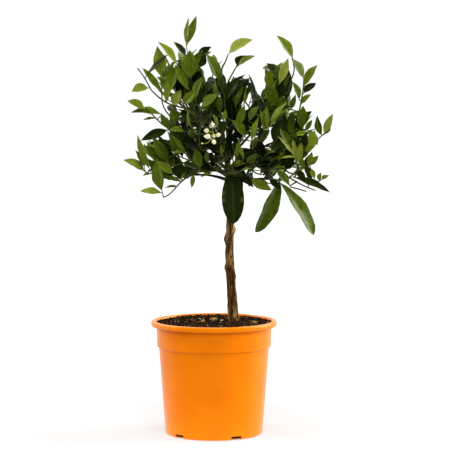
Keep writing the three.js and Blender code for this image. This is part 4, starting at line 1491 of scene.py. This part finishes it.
def grow_mass(name, index):
    """All twigs and leaves of one limb: those of its solid first, then the finer ones."""
    draw = seeded(MASS_SEEDS * index + LIMBS[name]["seed"])
    start = 0.0 if name == TRUNK_MASS else BOUGH_SHARE
    stem = new_twig(curves[name], curves[name].line(STEM_STEPS, start, 1), STEM_LEVEL, start=start)
    twigs = [stem, truss_twig()] if name == TRUSS["mass"] else [stem]
    grow_twigs(name, stem, LIMBS[name]["shoots"], SHOOTS, draw, twigs)
    leaves = hanging_leaves(name)
    bearing = [twig for twig in twigs if not twig["bare"]]
    grow_leaves(name, bearing, FIRST_LEAVES, draw, twigs, leaves)
    leaves = [leaf for leaf in leaves if stays(leaf["probes"])]
    fine_draw = seeded(MASS_SEEDS * index + FINE_SEED)
    for parent in bearing:
        count = round(line_length(parent["line"]) / TWIGLET_STEP)
        grow_twigs(name, parent, count, TWIGLETS, fine_draw, twigs)
    bearing = [twig for twig in twigs if not twig["bare"]]
    grow_leaves(name, bearing, FINE_LEAVES, fine_draw, twigs, leaves)
    return pruned(twigs, leaves), leaves


masses = {name: grow_mass(name, index) for index, name in enumerate(LIMBS)}
print("grown on each limb:", {name: len(leaves) for name, (_, leaves) in masses.items()})

# %% Join the leaves that stand out
JOINED = 1.0


def nearest_wood(point, twigs):
    """The point of the nearest twig's line."""
    wood = np.concatenate([twig["curve"].line(LIMB_STEPS, twig["start"], twig["end"]) for _, twig in twigs])
    return wood[np.linalg.norm(wood - point, axis=1).argmin()]


def join(name, points, level, twigs):
    """Adds a twig through points, led out of the nearest wood."""
    foot = nearest_wood(points[0], twigs)
    if np.linalg.norm(foot - points[0]) > JOINED:
        points = [foot, *points]
    if len(points) > 1:
        curve = Spline(*points)
        twigs.append((name, new_twig(curve, curve.line(LIMB_STEPS), level)))


all_twigs = [(name, twig) for name, (twigs, _) in masses.items() for twig in twigs]
for name, points in LEADING_SHOOTS.items():
    join(name, [np.array(point, float) for point in points], SHOOT_LEVEL, all_twigs)
for leaf in standing:
    join("standing", [leaf["root"]], TWIGLET_LEVEL, all_twigs)
all_leaves = standing + [leaf for _, leaves in masses.values() for leaf in leaves]
print(len(all_twigs), "twigs and", len(all_leaves), "leaves")

# %% [markdown]
# ## Bark finish
# The bark of a young citrus is warm brown with long pale streaks, darker in its furrows. The pattern must run
# along the wood on every limb, so each limb carries its own straightened coordinates as an attribute:
# two round the limb and one along it. A second attribute holds the relief, which darkens the furrows.

# %% Bark finish
GRAIN_STRETCH = (1.0, 1.0, 0.16)
STREAK_CLOUDS = 0.42
STREAK_RANGE = (0.38, 0.66)
PATCH_CLOUDS = 0.11
PATCH_RANGE = (0.52, 0.72)
PATCH_SHARE = 0.8
FURROW_RANGE = (-0.55, 0.1)
BARK_STRENGTH = 0.5
BARK_DEPTH = 0.8 * MM


def bark_finish(name, dark, middle, light):
    material, shader, place = new_finish(name, {"Roughness": 0.82, "Specular IOR Level": 0.1})
    straight_place = place.node("ShaderNodeAttribute", {"attribute_name": "grain"}, output="Vector")
    relief = place.node("ShaderNodeAttribute", {"attribute_name": "relief"}, output="Fac")
    grain = straight_place.stretched(GRAIN_STRETCH)
    streaks = grain.clouds(STREAK_CLOUDS, detail=6.0)
    patches = grain.clouds(PATCH_CLOUDS, detail=3.0)
    body = streaks.step(*STREAK_RANGE).between(tone(dark), tone(middle))
    pale = (patches.step(*PATCH_RANGE) * PATCH_SHARE).between(body, tone(light))
    furrows = relief.step(*FURROW_RANGE)
    furrows.between(tone(dark), pale).into(shader.inputs["Base Color"])
    streaks.bump(BARK_STRENGTH, BARK_DEPTH).into(shader.inputs["Normal"])
    return material


trunk_finish = bark_finish("trunk_bark_finish", "#301e0c", "#74522a", "#bd995f")
bough_finish = bark_finish("bough_bark_finish", "#221c0c", "#4a3f1c", "#6d6034")
print("finishes:", trunk_finish.name, bough_finish.name)

# %% [markdown]
# ## Trunk
# The trunk tapers from a slight flare at the soil to the fork, with the knots of cut side shoots on it and
# long furrows in the bark. A sculptor would pull these out of a cylinder. In code each point of a fine tube
# moves out by a rule: taper, flare, knots, then noise squeezed round the trunk and drawn out along it.

# %% Bark relief
RIDGE_HEIGHT = 0.55
RIDGE_SIZE = 2.6
FURROW_DEPTH = 0.7
FURROW_SIZE = 4.2
FURROW_WIDTH = 0.22
FURROW_SHIFT = 30


def bark_relief(grain):
    """Height of the bark over a smooth limb, from straightened coordinates in millimetres."""
    drawn_out = grain * GRAIN_STRETCH
    ridges = RIDGE_HEIGHT * rough(drawn_out, RIDGE_SIZE)
    valleys = np.abs(rough(drawn_out + FURROW_SHIFT, FURROW_SIZE, octaves=2))
    return ridges - FURROW_DEPTH * np.clip(1 - valleys / FURROW_WIDTH, 0, 1)


print("bark stands", RIDGE_HEIGHT, "mm out and goes", FURROW_DEPTH, "mm in")

# %% Limbs as meshes
def put_on_points(mesh, name, kind, values):
    """Stores a number or a vector on every point of a mesh, for node trees to read."""
    field = "vector" if kind == "FLOAT_VECTOR" else "value"
    attribute = mesh.attributes.new(name, kind, "POINT")
    attribute.data.foreach_set(field, np.asarray(values).astype(np.float32).ravel())


def bark_mesh(name, rings, grains, reliefs, sides, finish):
    """A mesh of closed limbs: lists of ring arrays with their straightened coordinates and relief."""
    faces, first = [], 0
    for ring in rings:
        faces += ring_faces(len(ring), sides, first)
        faces.append(tuple(range(first + sides - 1, first - 1, -1)))
        last = first + (len(ring) - 1) * sides
        faces.append(tuple(range(last, last + sides)))
        first += len(ring) * sides
    mesh = new_mesh(name, np.concatenate(rings), faces)
    put_on_points(mesh, "grain", "FLOAT_VECTOR", np.concatenate(grains))
    put_on_points(mesh, "relief", "FLOAT", np.concatenate(reliefs))
    mesh.materials.append(finish)
    return mesh


print("helpers ready:", put_on_points.__name__, bark_mesh.__name__)

# %% Trunk
TRUNK_FOOT_RADIUS = 8.2
TRUNK_TIP_RADIUS = 4.8
TRUNK_SUNK = 8.0
FLARE = 1.4
FLARE_FADE = 12.0
KNOT_SPREAD = 38.0
KNOT_HALF_HEIGHT = 6.0
KNOTS = [(74, 350, 1.6), (86, 215, 3.2), (131, 178, 2.6), (146, 4, 3.0)]
TRUNK_SIDES = 64
RING_STEP = 1.0
BULGE_HEIGHT = 0.6
BULGE_SIZE = 16.0
BARK_CREASE = 60


def trunk_radius(z, azimuth):
    height = max(z - SOIL_TOP, 0.0)
    radius = lerp(TRUNK_FOOT_RADIUS, TRUNK_TIP_RADIUS, height / (TRUNK_TOP - SOIL_TOP))
    radius = radius + FLARE * math.exp(-height / FLARE_FADE)
    for knot_height, knot_azimuth, size in KNOTS:
        turn = np.abs((azimuth - knot_azimuth + 540) % 360 - 180) / KNOT_SPREAD
        rise = (height - knot_height) / KNOT_HALF_HEIGHT
        radius = radius + size * np.exp(-turn * turn - rise * rise)
    return radius


def trunk_rings():
    heights = np.arange(SOIL_TOP - TRUNK_SUNK, TRUNK_TOP + RING_STEP, RING_STEP)
    azimuths = np.arange(TRUNK_SIDES) * 360 / TRUNK_SIDES
    out = np.array([heading(azimuth, 0) for azimuth in azimuths])
    radii = np.array([trunk_radius(z, azimuths) for z in heights])
    grain = radii[..., None] * out
    grain[..., 2] = heights[:, None]
    relief = bark_relief(grain).reshape(radii.shape)
    bulges = BULGE_HEIGHT * rough(grain, BULGE_SIZE).reshape(radii.shape)
    axis = np.array([trunk_axis(max(z, SOIL_TOP)) * (1, 1, 0) + (0, 0, z) for z in heights])
    return axis[:, None] + out * (radii + relief + bulges)[..., None], grain, relief


trunk_points, trunk_grain, trunk_relief = trunk_rings()
trunk_mesh = bark_mesh("trunk_bark", [trunk_points], [trunk_grain], [trunk_relief], TRUNK_SIDES, trunk_finish)
dress(trunk_mesh, ["trunk"], crease=BARK_CREASE)

# %% [markdown]
# ## Boughs
# Each bough leaves the trunk from a thick collar and thins on its way out. A tube follows its curve, wider at
# the foot, with the same bark relief at a smaller scale and a slight swelling wherever a twig leaves it.

# %% Boughs
BOUGH_RADIUS = 2.3
STEM_RADIUS = 1.7
STEM_TIP_RADIUS = 0.9
COLLAR_SWELL = 1.5
COLLAR_FADE = 9.0
BOUGH_SIDES = 16
BOUGH_END = 0.5
BOUGH_RING_STEP = 1.2
BOUGH_RELIEF = 0.45
TWIG_SWELL = 0.5
TWIG_SWELL_REACH = 3.0
LEADER_TAPER = 0.5


def limb_radius(name, t):
    """Radius of a limb, from its foot at the trunk to the tip of its stem."""
    if name == TRUNK_MASS:
        return lerp(TRUNK_TIP_RADIUS, STEM_TIP_RADIUS, min(1.0, t) ** LEADER_TAPER)
    if t < BOUGH_SHARE:
        return lerp(BOUGH_RADIUS, STEM_RADIUS, t / BOUGH_SHARE)
    return lerp(STEM_RADIUS, STEM_TIP_RADIUS, (t - BOUGH_SHARE) / (1 - BOUGH_SHARE))


def bough_rings(name):
    curve = curves[name]
    length = line_length(limb_lines[name])
    count = int(length * BOUGH_END / BOUGH_RING_STEP)
    turns = np.arange(BOUGH_SIDES) * 2 * math.pi / BOUGH_SIDES
    feet = [twig["line"][0] for twig in masses[name][0][1:]]
    rings, grains, reliefs = [], [], []
    for i in range(count + 1):
        t = BOUGH_END * i / count
        middle, along = curve.at(t), curve.along(t)
        across = square_to(SIDE_HINT, along)
        out = np.outer(np.cos(turns), across) + np.outer(np.sin(turns), np.cross(along, across))
        gaps = [np.linalg.norm(middle - foot) / TWIG_SWELL_REACH for foot in feet]
        swell_here = sum(math.exp(-(gap**2)) for gap in gaps)
        radius = limb_radius(name, t) + COLLAR_SWELL * math.exp(-t * length / COLLAR_FADE)
        radius += TWIG_SWELL * min(1.0, swell_here)
        round_limb = radius * np.cos(turns), radius * np.sin(turns)
        round_grain = np.column_stack((*round_limb, np.full(BOUGH_SIDES, t * length)))
        relief = bark_relief(round_grain + LIMBS[name]["seed"])
        rings.append(middle + out * (radius + BOUGH_RELIEF * relief)[:, None])
        grains.append(round_grain)
        reliefs.append(relief)
    return np.array(rings), np.array(grains), np.array(reliefs)


bough_parts = [bough_rings(name) for name in LIMBS]
bough_mesh = bark_mesh("bough_bark", *zip(*bough_parts), BOUGH_SIDES, bough_finish)
solid_boughs = [f"bough_{name}" for name in LIMBS if name != TRUNK_MASS]
dress(bough_mesh, solid_boughs, crease=BARK_CREASE)

# %% [markdown]
# ## Twigs as tubes
# A twig is a thin tube that follows its line and thins to its tip. Geometry Nodes do that well: the lines
# come in as edges with a thickness on each point, become curves, and a small circle is swept along them.

# %% A tree that sweeps twigs
def sweep_tree():
    tree, wires, end = new_tree("swept_twigs", {"Sides": "Int", "Material": "Material"})
    lines = wires["Geometry"]
    curve = lines.node("GeometryNodeMeshToCurve", {}, {"Mesh": lines})
    circle = lines.node("GeometryNodeCurvePrimitiveCircle", {}, {"Resolution": wires["Sides"], "Radius": 1.0})
    thickness = lines.node("GeometryNodeInputNamedAttribute", {"data_type": "FLOAT"}, {"Name": "thickness"})
    swept = {"Curve": curve, "Profile Curve": circle, "Scale": thickness, "Fill Caps": True}
    finished(wires, lines.node("GeometryNodeCurveToMesh", {}, swept), smooth=True).into(end)
    return tree


def line_mesh(lines, radii):
    """Edges along lines of points, with a thickness on every point."""
    mesh = bpy.data.meshes.new("twig_lines")
    edges, first = [], 0
    for line in lines:
        edges += [(first + i, first + i + 1) for i in range(len(line) - 1)]
        first += len(line)
    mesh.from_pydata((np.concatenate(lines) * MM).tolist(), edges, [])
    put_on_points(mesh, "thickness", "FLOAT", np.concatenate(radii) * MM)
    return mesh


twig_sweep = sweep_tree()
print("tree:", twig_sweep.name, len(twig_sweep.nodes), "nodes")

# %% [markdown]
# ## Twig finishes
# The stems in the limbs' ends are olive brown, and the younger twigs on them are green. Both have the same
# fine mottle with other tones, so one function makes the two finishes. The buds' stalks use it again later.

# %% Twig finishes
TWIG_MOTTLE = 260.0
TWIG_MOTTLE_RANGE = (0.35, 0.7)
TWIG_STRENGTH = 0.35
TWIG_DEPTH = 0.5 * MM


def twig_finish(name, dark, light):
    material, shader, place = new_finish(name, {"Roughness": 0.6, "Specular IOR Level": 0.15})
    mottle = place.clouds(TWIG_MOTTLE, detail=4.0)
    mottle.step(*TWIG_MOTTLE_RANGE).between(tone(dark), tone(light)).into(shader.inputs["Base Color"])
    mottle.bump(TWIG_STRENGTH, TWIG_DEPTH).into(shader.inputs["Normal"])
    return material


wood_finish = twig_finish("twig_wood", "#2f2a14", "#5a5230")
green_finish = twig_finish("twig_green", "#2f3b0c", "#4d5a1e")
print("finishes:", wood_finish.name, green_finish.name)

# %% [markdown]
# ## Sweeping the twigs
# A stem goes on where its bough ends, so it takes the limb's own thickness. Shoots and twiglets have a thick
# and a thin end of their own. All twigs of one finish make one piece, which stands for the solid masses.

# %% Sweep the twigs
SHOOT_RADII = (1.5, 0.95)
TWIGLET_RADII = (1.0, 0.65)
TWIG_SIDES = 7
TWIG_STEPS = 9
TWIG_CREASE = 60
SOLID_MASSES = [f"leaves_{name}" for name in LIMBS]


def twig_radii(name, twig, count):
    shares = np.linspace(0, 1, count)
    if twig["level"] == STEM_LEVEL:
        return np.array([limb_radius(name, lerp(twig["start"], 1, share)) for share in shares])
    thick, thin = SHOOT_RADII if twig["level"] == SHOOT_LEVEL else TWIGLET_RADII
    return lerp(thick, thin, shares)


def twig_piece(name, levels, finish):
    lines, radii = [], []
    for mass, twig in all_twigs:
        if twig["level"] in levels:
            lines.append(twig["curve"].line(TWIG_STEPS, twig["start"], twig["end"]))
            radii.append(twig_radii(mass, twig, TWIG_STEPS + 1))
    values = {"Sides": TWIG_SIDES, "Material": finish}
    mesh = run_tree(name, twig_sweep, line_mesh(lines, radii), values)
    dress(mesh, SOLID_MASSES, crease=TWIG_CREASE)


twig_piece("wood_twigs", (STEM_LEVEL,), wood_finish)
twig_piece("green_twigs", (SHOOT_LEVEL, TWIGLET_LEVEL), green_finish)

# %% [markdown]
# ## Leaf finishes
# A citrus leaf is dark and glossy above, and pale and dull below, with a light midrib. Leaves of one age
# share one colour, so each age has two finishes of its own. The tints also paint light and shade: the fresh
# and young ones are paler partly for the light on the outside of the crown, and the mature and old ones are
# near black partly for the shade inside it. A row states the dark and light tones of the upper side, those of
# the underside, then the roughness and shine above. The finish reads the blade's own coordinates, stored on
# its points: across, along, and a number that differs from leaf to leaf.

# %% Leaf finishes
# The fresh and young tints are pale partly as painted light on the crown's outside, and the mature and old
# ones near black partly as painted shade inside it.
LEAF_TINTS_WITH_PAINTED_SHADE = {
    "fresh": (("#5c6614", "#808a36"), ("#78823a", "#8b944e"), 0.4, 0.3),
    "young": (("#4a5908", "#6e7d1d"), ("#5f6c28", "#707e38"), 0.35, 0.25),
    "grown": (("#303f04", "#56690f"), ("#435216", "#536222"), 0.3, 0.18),
    "mature": (("#0d1402", "#222e09"), ("#2b370e", "#384516"), 0.34, 0.13),
    "old": (("#060a01", "#101704"), ("#1d280a", "#2a3610"), 0.34, 0.12),
}
UNDER_ROUGHNESS = 0.6
UNDER_SHINE = 0.1
LEAF_MOTTLE = 150.0
LEAF_MOTTLE_RANGE = (0.3, 0.7)
MOTTLE_SHARE = 0.4
TONE_SHARE = 0.6
RIB_HALF_WIDTH = 0.13
RIB_CORE = 0.3
RIB_SHARE = 0.7
VEIN_PAIRS = 9.0
VEIN_SLANT = 2.2
VEIN_SHARE = 0.5
VEIN_DEPTH = 0.6 * MM
UPPER_VEINS = 0.25
UNDER_VEINS = 0.35


def leaf_finish(name, tones, rib_tone, roughness, shine, vein_strength):
    """One side of a blade: mottled tones, a pale midrib and slanted veins."""
    material, shader, place = new_finish(name, {"Roughness": roughness, "Specular IOR Level": shine})
    blade = place.node("ShaderNodeAttribute", {"attribute_name": "blade"}, output="Vector")
    across, along, leaf_tone = (
        place.node("ShaderNodeSeparateXYZ", {}, {"Vector": blade}, output=axis) for axis in "XYZ"
    )
    mottle = place.clouds(LEAF_MOTTLE, detail=4.0)
    lightness = leaf_tone * TONE_SHARE + mottle.step(*LEAF_MOTTLE_RANGE) * MOTTLE_SHARE
    body = lightness.between(*map(tone, tones))
    rib = 1 - abs(across).step(RIB_CORE * RIB_HALF_WIDTH, RIB_HALF_WIDTH)
    (rib * RIB_SHARE).between(body, tone(rib_tone)).into(shader.inputs["Base Color"])
    slanted = along * VEIN_PAIRS - abs(across) * VEIN_SLANT
    veins = slanted.maths("SINE", slanted * (2 * math.pi))
    (veins * VEIN_SHARE + mottle).bump(vein_strength, VEIN_DEPTH).into(shader.inputs["Normal"])
    return material


leaf_finishes = {}
for age, (upper, under, roughness, shine) in LEAF_TINTS_WITH_PAINTED_SHADE.items():
    rib, under_rib = under
    leaf_finishes[age] = (
        leaf_finish(f"leaf_{age}_upper", upper, rib, roughness, shine, UPPER_VEINS),
        leaf_finish(f"leaf_{age}_under", under, under_rib, UNDER_ROUGHNESS, UNDER_SHINE, UNDER_VEINS),
    )
print(len(leaf_finishes), "ages of leaf, two finishes each")

# %% [markdown]
# ## Ages, and the light and shade they paint
# The freshest leaves stand at the tips of the outer sprays, and the oldest sit inside the crown or hang below
# it. A leaf's age comes from its place on the twig and how far out of the crown's middle it grows, with a
# draw for the whole spray, so that neighbours on one twig look alike. Since the older tints are darker, the
# same rule paints shade inside the crown and light on its outside.

# %% Deal the leaves out by age, painting shade inside the crown
CROWN_MIDDLE = np.array((20.0, 0.0, 470.0))
CROWN_HALF = np.array((150.0, 220.0, 165.0))
AGE_AND_PAINTED_SHADE_LIMITS = {"old": 0.3, "mature": 0.58, "grown": 0.86, "young": 1.1, "fresh": math.inf}
YOUTH_WEIGHT = 0.42
OUTER_PAINTED_LIGHT_WEIGHT = 0.75
SPRAY_WEIGHT = 0.16
AGE_STATION = 0.6
SHADE_SEED = 77

shade_draw = seeded(SHADE_SEED)
spray_draws = {}


def leaf_age_and_painted_shade(leaf):
    if "age" in leaf:
        return leaf["age"]
    # The further out a leaf grows, the paler its tint: painted light outside the crown, painted shade inside
    # it.
    outer = np.linalg.norm((leaf_middle(leaf, AGE_STATION) - CROWN_MIDDLE) / CROWN_HALF)
    spray = spray_draws.setdefault(id(leaf["twig"]), shade_draw(-1, 1))
    fresh = YOUTH_WEIGHT * leaf["youth"] + OUTER_PAINTED_LIGHT_WEIGHT * outer * outer + SPRAY_WEIGHT * spray
    return next(stage for stage, limit in AGE_AND_PAINTED_SHADE_LIMITS.items() if fresh < limit)


leaves_by_age_and_painted_shade = {age: [] for age in LEAF_TINTS_WITH_PAINTED_SHADE}
for leaf in all_leaves:
    leaves_by_age_and_painted_shade[leaf_age_and_painted_shade(leaf)].append(leaf)
print({age: len(leaves) for age, leaves in leaves_by_age_and_painted_shade.items()})

# %% [markdown]
# ## Leaf blades
# Each blade is folded along its midrib, curls back towards its tip, twists a little and has a wavy edge, on a
# short stalk. The largest, oldest leaves are blunter and flatter. A blade is a thin closed skin: eight points
# in a ring, five over the top and three below, in eleven rings and a tip. Hundreds of leaves are worked out
# together as one array, which is quick and lets each have a shape of its own, as instances could not.

# %% The bend and the skin of a blade
LEAF_ACROSS = np.array((-1.0, -0.55, 0.0, 0.55, 1.0, 0.55, 0.0, -0.55))
LEAF_IS_UNDER = np.array((0, 0, 0, 0, 0, 1, 1, 1))
BLADE_THICKNESS = 0.35
RIB_THICKNESS = 0.9
RIB_THINNING = 0.6
FOLD_EASE = 0.4
WAVE_HEIGHT = 0.014
WAVES = 2.4
WAVE_OFFSET = 0.3


def blade_frames(shape, twist, s):
    """The middle lines of all blades, with the direction across and the normal at every station."""
    bend = shape["curl"][:, None] * s
    radius = (shape["length"] / shape["curl"])[:, None, None]
    way, face = shape["way"][:, None], shape["face"][:, None]
    sine, cosine = np.sin(bend)[..., None], np.cos(bend)[..., None]
    middle = shape["root"][:, None] + radius * (way * sine - face * (1 - cosine))
    untwisted = face * cosine + way * sine
    sideways = np.cross(way, face) + np.zeros_like(untwisted)
    turn = (twist[:, None] * s)[..., None]
    across = sideways * np.cos(turn) + untwisted * np.sin(turn)
    normal = untwisted * np.cos(turn) - sideways * np.sin(turn)
    return middle, across, normal


def blade_heights(length, half, outline, fold, wave_start, s):
    """How far each point of the skins stands off its blade's middle plane: fold, wavy edge, thickness."""
    side = np.abs(LEAF_ACROSS)
    height = half[..., None] * fold[:, None, None] * side * (1 - FOLD_EASE * side)
    along_edge = wave_start[:, None, None] + WAVES * s[:, None]
    phase = 2 * math.pi * (along_edge + WAVE_OFFSET * np.sign(LEAF_ACROSS))
    height += WAVE_HEIGHT * length[:, None, None] * outline[..., None] * np.sin(phase) * side**2
    rib = RIB_THICKNESS * (1 - RIB_THINNING * s)[:, None] * (side == 0)
    return height - LEAF_IS_UNDER * (BLADE_THICKNESS + rib)


print("a ring of a blade has", len(LEAF_ACROSS), "points,", LEAF_IS_UNDER.sum(), "of them below")

# %% Blades as arrays
LEAF_STATIONS = np.array((0.0, 0.06, 0.12, 0.2, 0.3, 0.41, 0.53, 0.65, 0.77, 0.87, 0.95))
STALK_SHARE = 0.075
STALK_HALF_WIDTH = 0.75
LEAST_FOLD = 16.0
MOST_FOLD = 42.0
YOUTH_FOLD = 0.5
MOST_TWIST = 55.0
STANDING_TWIST = 0.25
USUAL_POWERS = (0.95, 1.22)
LARGE_POWERS = (0.8, 0.65)
LARGE_LENGTH = 60.0
LARGEST_LENGTH = 90.0
LARGE_FOLD = 0.75
LEAF_FACTS = ("root", "way", "face", "length", "width", "curl", "youth")


def leaf_rings(leaves):
    """Points of all blades: leaf, ring, place in the ring, x y z. The tips come apart."""
    shape = {fact: np.array([leaf[fact] for leaf in leaves], float) for fact in LEAF_FACTS}
    draws = np.array([[shade_draw(0, 1) for _ in range(4)] for _ in leaves])
    folded = lerp(draws[:, 0], np.clip(shape["youth"], 0, 1), YOUTH_FOLD)
    large = np.clip((shape["length"] - LARGE_LENGTH) / (LARGEST_LENGTH - LARGE_LENGTH), 0, 1)
    fold = np.tan(np.radians(lerp(LEAST_FOLD, MOST_FOLD, folded))) * lerp(1, LARGE_FOLD, large)
    loose = np.array([STANDING_TWIST if "age" in leaf else 1.0 for leaf in leaves])
    twist = np.radians(MOST_TWIST * loose * (2 * draws[:, 1] - 1))
    s = np.append(LEAF_STATIONS, 1.0)
    middle, across, normal = blade_frames(shape, twist, s)
    blade_share = np.clip((s - STALK_SHARE) / (1 - STALK_SHARE), 0, 1)
    powers = [lerp(usual, blunt, large)[:, None] for usual, blunt in zip(USUAL_POWERS, LARGE_POWERS)]
    outline = swell(blade_share, *powers)
    half = 0.5 * shape["width"][:, None] * outline + STALK_HALF_WIDTH * (1 - s)
    height = blade_heights(shape["length"], half, outline, fold, draws[:, 2], s)
    points = middle[:, :, None] + across[:, :, None] * (half[..., None] * LEAF_ACROSS)[..., None]
    points = points + normal[:, :, None] * height[..., None]
    return points[:, :-1], middle[:, -1], draws[:, 3]


print("a blade has", len(LEAF_STATIONS) * len(LEAF_ACROSS) + 1, "points")

# %% Leaf pieces
LEAF_CREASE = 40


def leaf_faces(count):
    """Faces of a number of blades, and which of them belong to an underside or a stalk."""
    rings, sides = len(LEAF_STATIONS), len(LEAF_ACROSS)
    faces = ring_faces(rings, sides)
    tip = rings * sides
    faces += [(tip - sides + k, tip - sides + (k + 1) % sides, tip) for k in range(sides)]
    under = [i % sides >= sides // 2 or i < 2 * sides for i in range(len(faces))]
    faces.append(tuple(range(sides - 1, -1, -1)))
    under.append(True)
    firsts = [leaf * (tip + 1) for leaf in range(count)]
    all_faces = [tuple(corner + first for corner in face) for first in firsts for face in faces]
    return all_faces, np.tile(under, count)


def leaf_piece(age, leaves):
    rings, tips, tones = leaf_rings(leaves)
    count = len(leaves)
    points = np.concatenate((rings.reshape(count, -1, 3), tips[:, None]), axis=1)
    faces, under = leaf_faces(count)
    mesh = new_mesh(f"leaves_{age}", points, faces)
    mesh.polygons.foreach_set("material_index", under.astype(np.int32))
    own_across = np.append(np.tile(LEAF_ACROSS, len(LEAF_STATIONS)), 0)
    own_along = np.append(np.repeat(LEAF_STATIONS, len(LEAF_ACROSS)), 1)
    own = np.column_stack((own_across, own_along, np.zeros(len(own_along))))
    blade_facts = np.tile(own, (count, 1))
    blade_facts[:, 2] = np.repeat(tones, len(own))
    put_on_points(mesh, "blade", "FLOAT_VECTOR", blade_facts)
    for finish in leaf_finishes[age]:
        mesh.materials.append(finish)
    dress(mesh, SOLID_MASSES, crease=LEAF_CREASE)


for age, leaves in leaves_by_age_and_painted_shade.items():
    leaf_piece(age, leaves)

# %% [markdown]
# ## Flower buds
# One truss of cream buds is about to open: each is an egg with five petals closed round it, in a small green
# cup on a stalk. A bud and a cup are turned round their own axis and made once. Geometry Nodes then set a
# copy of each on every stalk's end, turned along the stalk.

# %% Buds
BUD_RADIUS = 3.8
BUD_POWERS = (0.55, 0.7)
BUD_RINGS = 9
BUD_SIDES = 15
PETALS = 5
PETAL_GROOVE = 0.09
CUP_RADIUS = 1.5
CUP_FLARE = 1.15
CUP_PROFILE = [
    (0.0, -0.9), (0.8, -0.7), (CUP_RADIUS, 0.3),
    (CUP_RADIUS * CUP_FLARE, 1.1), (CUP_RADIUS, 1.0), (0.0, 0.6),
]


def bud_mesh():
    shares = np.linspace(0, 1, BUD_RINGS)
    profile = [(BUD_RADIUS * swell(share, *BUD_POWERS), BUD_LENGTH * share) for share in shares]
    points = turned(profile, BUD_SIDES)
    angles = np.linspace(0, 2 * math.pi, BUD_SIDES, endpoint=False)
    points[..., :2] *= (1 - PETAL_GROOVE * (1 - np.abs(np.cos(PETALS * angles / 2))))[None, :, None]
    return ring_mesh("bud", points)


def set_tree():
    tree, wires, end = new_tree("set_on_stalks", {"Shape": "Object", "Material": "Material"})
    points = wires["Geometry"]
    shape = points.node("GeometryNodeObjectInfo", {}, {"Object": wires["Shape"]}, output="Geometry")
    way = points.node("GeometryNodeInputNamedAttribute", {"data_type": "FLOAT_VECTOR"}, {"Name": "way"})
    turn = points.node("FunctionNodeAlignRotationToVector", {"axis": "Z"}, {"Vector": way})
    size = points.node("GeometryNodeInputNamedAttribute", {"data_type": "FLOAT"}, {"Name": "size"})
    placed = {"Points": points, "Instance": shape, "Rotation": turn, "Scale": size}
    finished(wires, points.node("GeometryNodeInstanceOnPoints", {}, placed), smooth=True).into(end)
    return tree


bud_set = set_tree()
print("tree:", bud_set.name, len(bud_set.nodes), "nodes for", len(buds), "buds")

# %% [markdown]
# ## Setting the buds
# Every bud has a place, a direction and a size. They come in as points with two attributes, which the tree
# reads. The stalks run from the middle of the truss to each cup, and one more leads out of the nearest wood.

# %% Set the buds
PETAL_CLOUDS = 500.0
PETAL_RANGE = (0.3, 0.75)
PETAL_TONES = (tone("#e9ddac"), tone("#fbf6dd"))
BUD_CREASE = 50
STALK_STEPS = 4
STALK_RADII = (0.8, 0.65)
TRUSS_MIDDLE = np.array((-1, -80, 480), float)

petal_finish, petal_shader, petal_place = new_finish("petals", {"Roughness": 0.5, "Specular IOR Level": 0.3})
petal_shades = petal_place.clouds(PETAL_CLOUDS).step(*PETAL_RANGE)
petal_shades.between(*PETAL_TONES).into(petal_shader.inputs["Base Color"])
stalk_finish = twig_finish("stalk_green", "#7d8c3a", "#a3ad5c")


def bud_points():
    mesh = bpy.data.meshes.new("bud_points")
    mesh.from_pydata([(foot * MM).tolist() for foot, _, _ in buds], [], [])
    put_on_points(mesh, "way", "FLOAT_VECTOR", [way for _, way, _ in buds])
    put_on_points(mesh, "size", "FLOAT", [size for _, _, size in buds])
    return mesh


def set_piece(name, shape_mesh, finish):
    shape = bpy.data.objects.new("shape", shape_mesh)
    scene.collection.objects.link(shape)
    made = run_tree(name, bud_set, bud_points(), {"Shape": shape, "Material": finish})
    bpy.data.objects.remove(shape)
    dress(made, crease=BUD_CREASE)


def bud_stalk(foot, way):
    """A line from the middle of the truss to a bud's cup, which it enters along the bud."""
    reach = np.linalg.norm(foot - TRUSS_MIDDLE)
    return Bezier(TRUSS_MIDDLE, foot - way * reach / 2, foot).line(STALK_STEPS)


set_piece("flower_buds", bud_mesh(), petal_finish)
set_piece("bud_cups", ring_mesh("cup", turned(CUP_PROFILE, BUD_SIDES)), stalk_finish)
truss_line = Spline(nearest_wood(TRUSS_MIDDLE, all_twigs), TRUSS_MIDDLE).line(STALK_STEPS)
stalk_lines = [truss_line] + [bud_stalk(foot, way) for foot, way, _ in buds]
stalk_mesh = line_mesh(stalk_lines, [np.linspace(*STALK_RADII, STALK_STEPS + 1)] * len(stalk_lines))
stalk_values = {"Sides": TWIG_SIDES, "Material": stalk_finish}
dress(run_tree("bud_stalks", twig_sweep, stalk_mesh, stalk_values))

# %% [markdown]
